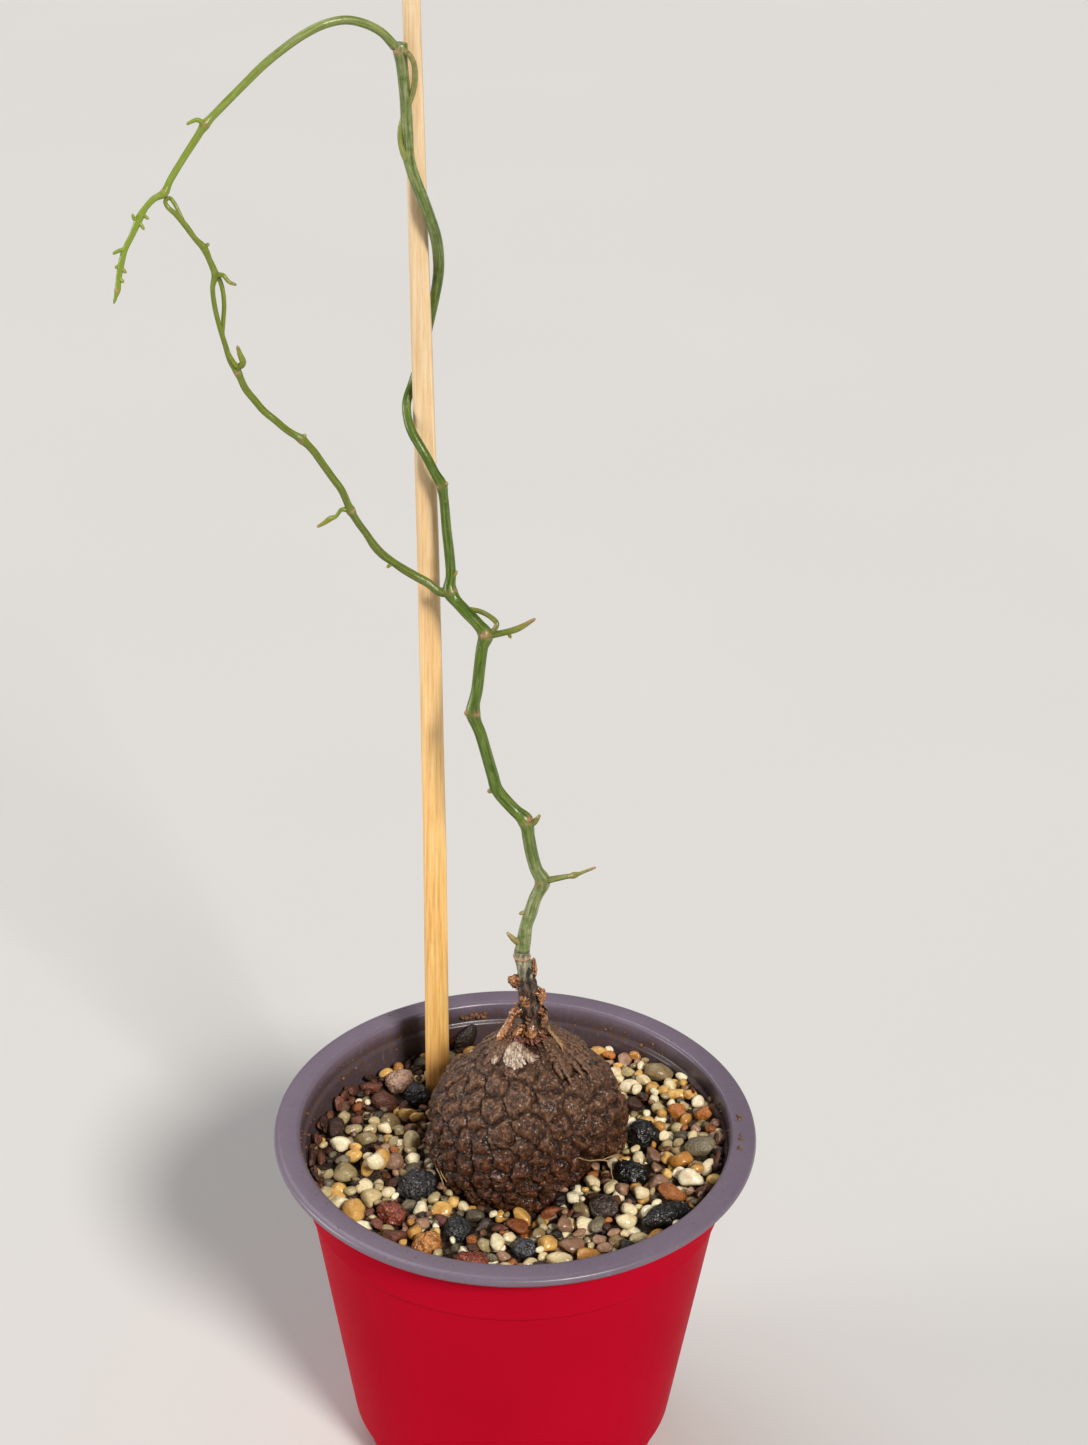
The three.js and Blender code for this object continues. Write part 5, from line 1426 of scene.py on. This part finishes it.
def stake():
    knots = np.array(STAKE_LINE)
    heights = np.linspace(knots[0, 2], knots[-1, 2], 150)
    corners = np.array([tuple(p) for p in rounded([*STAKE_OUTLINE, *STAKE_OUTLINE[:2]], 0.22, 3)[4:-4]])
    outline = spline(np.hstack([corners, np.zeros((len(corners), 1))]), 0.12)[:-1]
    rings = []
    for z in heights:
        x, y, half = (np.interp(z, knots[:, 2], knots[:, k]) for k in (0, 1, 3))
        edge = np.array([x, y, z]) + outline * half
        ridges = 0.02 * noise_at(outline * (6, 6, 1) + (0, 0, z * 0.012), 0.8, 3.0, 2)
        rings.append(edge + outline * (ridges * half)[:, None])
    points, faces = capped_tube(rings)
    scar = np.exp(-(((points - STAKE_SCAR) / (1.8, 4, 1.0)) ** 2).sum(1))
    shape = Shape()
    shape.add(points, faces, scar=0.7 * scar)
    shape.piece("bamboo_stake", "bamboo", [bamboo()], ["stake"])


# Root fibres round the caudex's foot, [x, y, z, radius], and crumbs that stick to the pot: on its
# wall by turn, height and size, and on its rim by turns with one radius, height and size
ROOT_FIBRES = [
    [(15.5, -16.5, 96.3, 0.18), (18.3, -12.5, 92.4, 0.18), (21.6, -9.6, 90.4, 0.17),
     (23.4, -9.4, 89.6, 0.17), (24.0, -11.4, 87.6, 0.15), (24.4, -13.2, 86.8, 0.14)],
    [(21.6, -9.6, 90.4, 0.17), (24.6, -7.4, 90.0, 0.15), (26.6, -7.6, 88.6, 0.14)],
    [(-19.6, -8.0, 91.0, 0.15), (-19.4, -10.4, 88.6, 0.15), (-18.2, -12.6, 87.2, 0.14),
     (-17.2, -15.4, 86.4, 0.12)],
    [(-18.6, -9.8, 90.0, 0.14), (-17.9, -12.2, 87.6, 0.13), (-16.4, -14.6, 86.6, 0.11)],
]
CRUMBS = [
    (-148, 90.6, 0.8), (-147, 91.4, 0.5), (126, 89.4, 0.6), (172, 90.4, 0.5), (178, 87.9, 0.8),
    (-176, 90.8, 0.5), (64, 89.8, 0.5), (58, 90.6, 0.4), (52, 89.0, 0.9), (48, 90.9, 0.6), (20, 89.2, 1.0),
    (17, 88.8, 0.8), (12, 90.3, 0.5), (2, 91.2, 0.5), (-4, 90.2, 0.4), (150, 88.2, 0.8), (144, 88.0, 0.7),
]
RIM_CRUMB_TURNS = (-9, -5, -3.6, 3, 4.4)
RIM_CRUMBS = (56.1, 94.05, 0.8)


def root_fibres():
    fibres = Shape()
    for line in ROOT_FIBRES:
        add_stem(fibres, line, 8, 0.3, 1.0, grown_tip=True)
    fibres.piece("root_fibres", "corky_bark", [fibre("root_fibre", (120, 88, 56), (190, 158, 116))])


def crumb_places(random):
    """Turn, radius, height and size of each crumb: as listed, on the wall, in a clump, on the rim"""
    places = [(turn, float(inner_radius(z)) - 0.25 * size, z, size) for turn, z, size in CRUMBS]
    for _ in range(70):
        turn = random.uniform(110, 215) if random.random() < 0.6 else random.uniform(-180, 180)
        z = random.uniform(86.5, 92)
        places.append((turn, float(inner_radius(z)) - 0.1, z, random.uniform(0.2, 0.5)))
    places += [(turn, *RIM_CRUMBS) for turn in RIM_CRUMB_TURNS]
    for _ in range(18):
        z = random.uniform(90.1, 91.0)
        places.append((random.uniform(99.5, 107.5), inner_radius(z) - 0.2, z, random.uniform(0.4, 1.2)))
    for _ in range(40):
        turn, radius = random.uniform(-180, 180), random.uniform(54.4, 58.4)
        places.append((turn, radius, 94.02, random.uniform(0.15, 0.36)))
    return places


def wall_crumbs():
    random = np.random.default_rng(9)
    directions, faces = ball(3)
    crumbs = Shape()
    for turn, radius, z, size in crumb_places(random):
        reach = stone_radius(directions, random, 9, 0.05, (0.6, 0.95))
        half = size * random.uniform(0.5, 1.0, 3)
        angle = math.radians(turn)
        place = (radius * math.cos(angle), radius * math.sin(angle), z)
        crumbs.add(directions * reach[:, None] * half + place, faces)
    crumbs.piece("wall_crumbs", "soil", [fibre("crumb", (58, 38, 26), (140, 96, 58))])


# Stage: pale floor, soft lights and the camera
FLOOR_REACH = 30.0
WORLD_STRENGTH = 0.17
LIGHTS = [
    ("key", (0.39, -0.67, 0.63), 3.55, 13, (1, 0.965, 0.91)),
    ("side", (-0.93, -0.05, 0.2), 1.9, 25, (1, 0.97, 0.93)),
    ("top", (-0.3, 0.45, 0.84), 1.1, 40, (0.97, 0.98, 1)),
]


def stage():
    """A pale floor and the lights: each by its name, direction, strength, softness and tint"""
    floor = bpy.data.meshes.new("floor")
    corners = [(FLOOR_REACH * u, FLOOR_REACH * v, 0) for u, v in ((-1, -1), (1, -1), (1, 1), (-1, 1))]
    floor.from_pydata(corners, [], [(0, 1, 2, 3)])
    look = Finish("floor_paint", 0.7, 0.3)
    look.colour(look.mix(look.noise(300, 2), (198, 197, 195), (203, 202, 200)))
    floor.materials.append(look.material)
    new_object("floor", floor)
    for name, towards, strength, softness, tint in LIGHTS:
        sun = bpy.data.lights.new(name, "SUN")
        sun.energy = strength
        sun.color = tint
        sun.angle = math.radians(softness)
        light = new_object(name, sun)
        light.rotation_euler = Vector(towards).to_track_quat("Z", "Y").to_euler()
    world = bpy.data.worlds.new("studio")
    world.use_nodes = True
    background = world.node_tree.nodes["Background"]
    background.inputs["Color"].default_value = (1, 1, 1, 1)
    background.inputs["Strength"].default_value = WORLD_STRENGTH
    bpy.context.scene.world = world
    bpy.context.scene.view_settings.view_transform = "Standard"


def camera():
    lens = bpy.data.cameras.new("camera")
    lens.sensor_width = SENSOR
    lens.lens = FOCAL_PIXELS / IMAGE_HEIGHT * SENSOR
    made = new_object("camera", lens)
    right = Vector((1, 0, 0))
    up = Vector((0, math.sin(CAMERA_PITCH), math.cos(CAMERA_PITCH)))
    side = right * math.cos(CAMERA_ROLL) + up * math.sin(CAMERA_ROLL)
    top = up * math.cos(CAMERA_ROLL) - right * math.sin(CAMERA_ROLL)
    made.matrix_world = Matrix((side, top, side.cross(top))).transposed().to_4x4()
    made.location = Vector(CAMERA_PLACE) * MM
    bpy.context.scene.camera = made


camera()
pot_skin()
frame["nodes"]["soil"].material_slots[0].material = potting_mix()
gravel_floor()
gravel()
stones()
caudex()
torn_patch()
tan_strand()
crown_strips()
woody_stem()
bark_random = np.random.default_rng(12)
papery_scales(bark_random)
foot_fringe(bark_random)
vine()
stake()
root_fibres()
wall_crumbs()
stage()
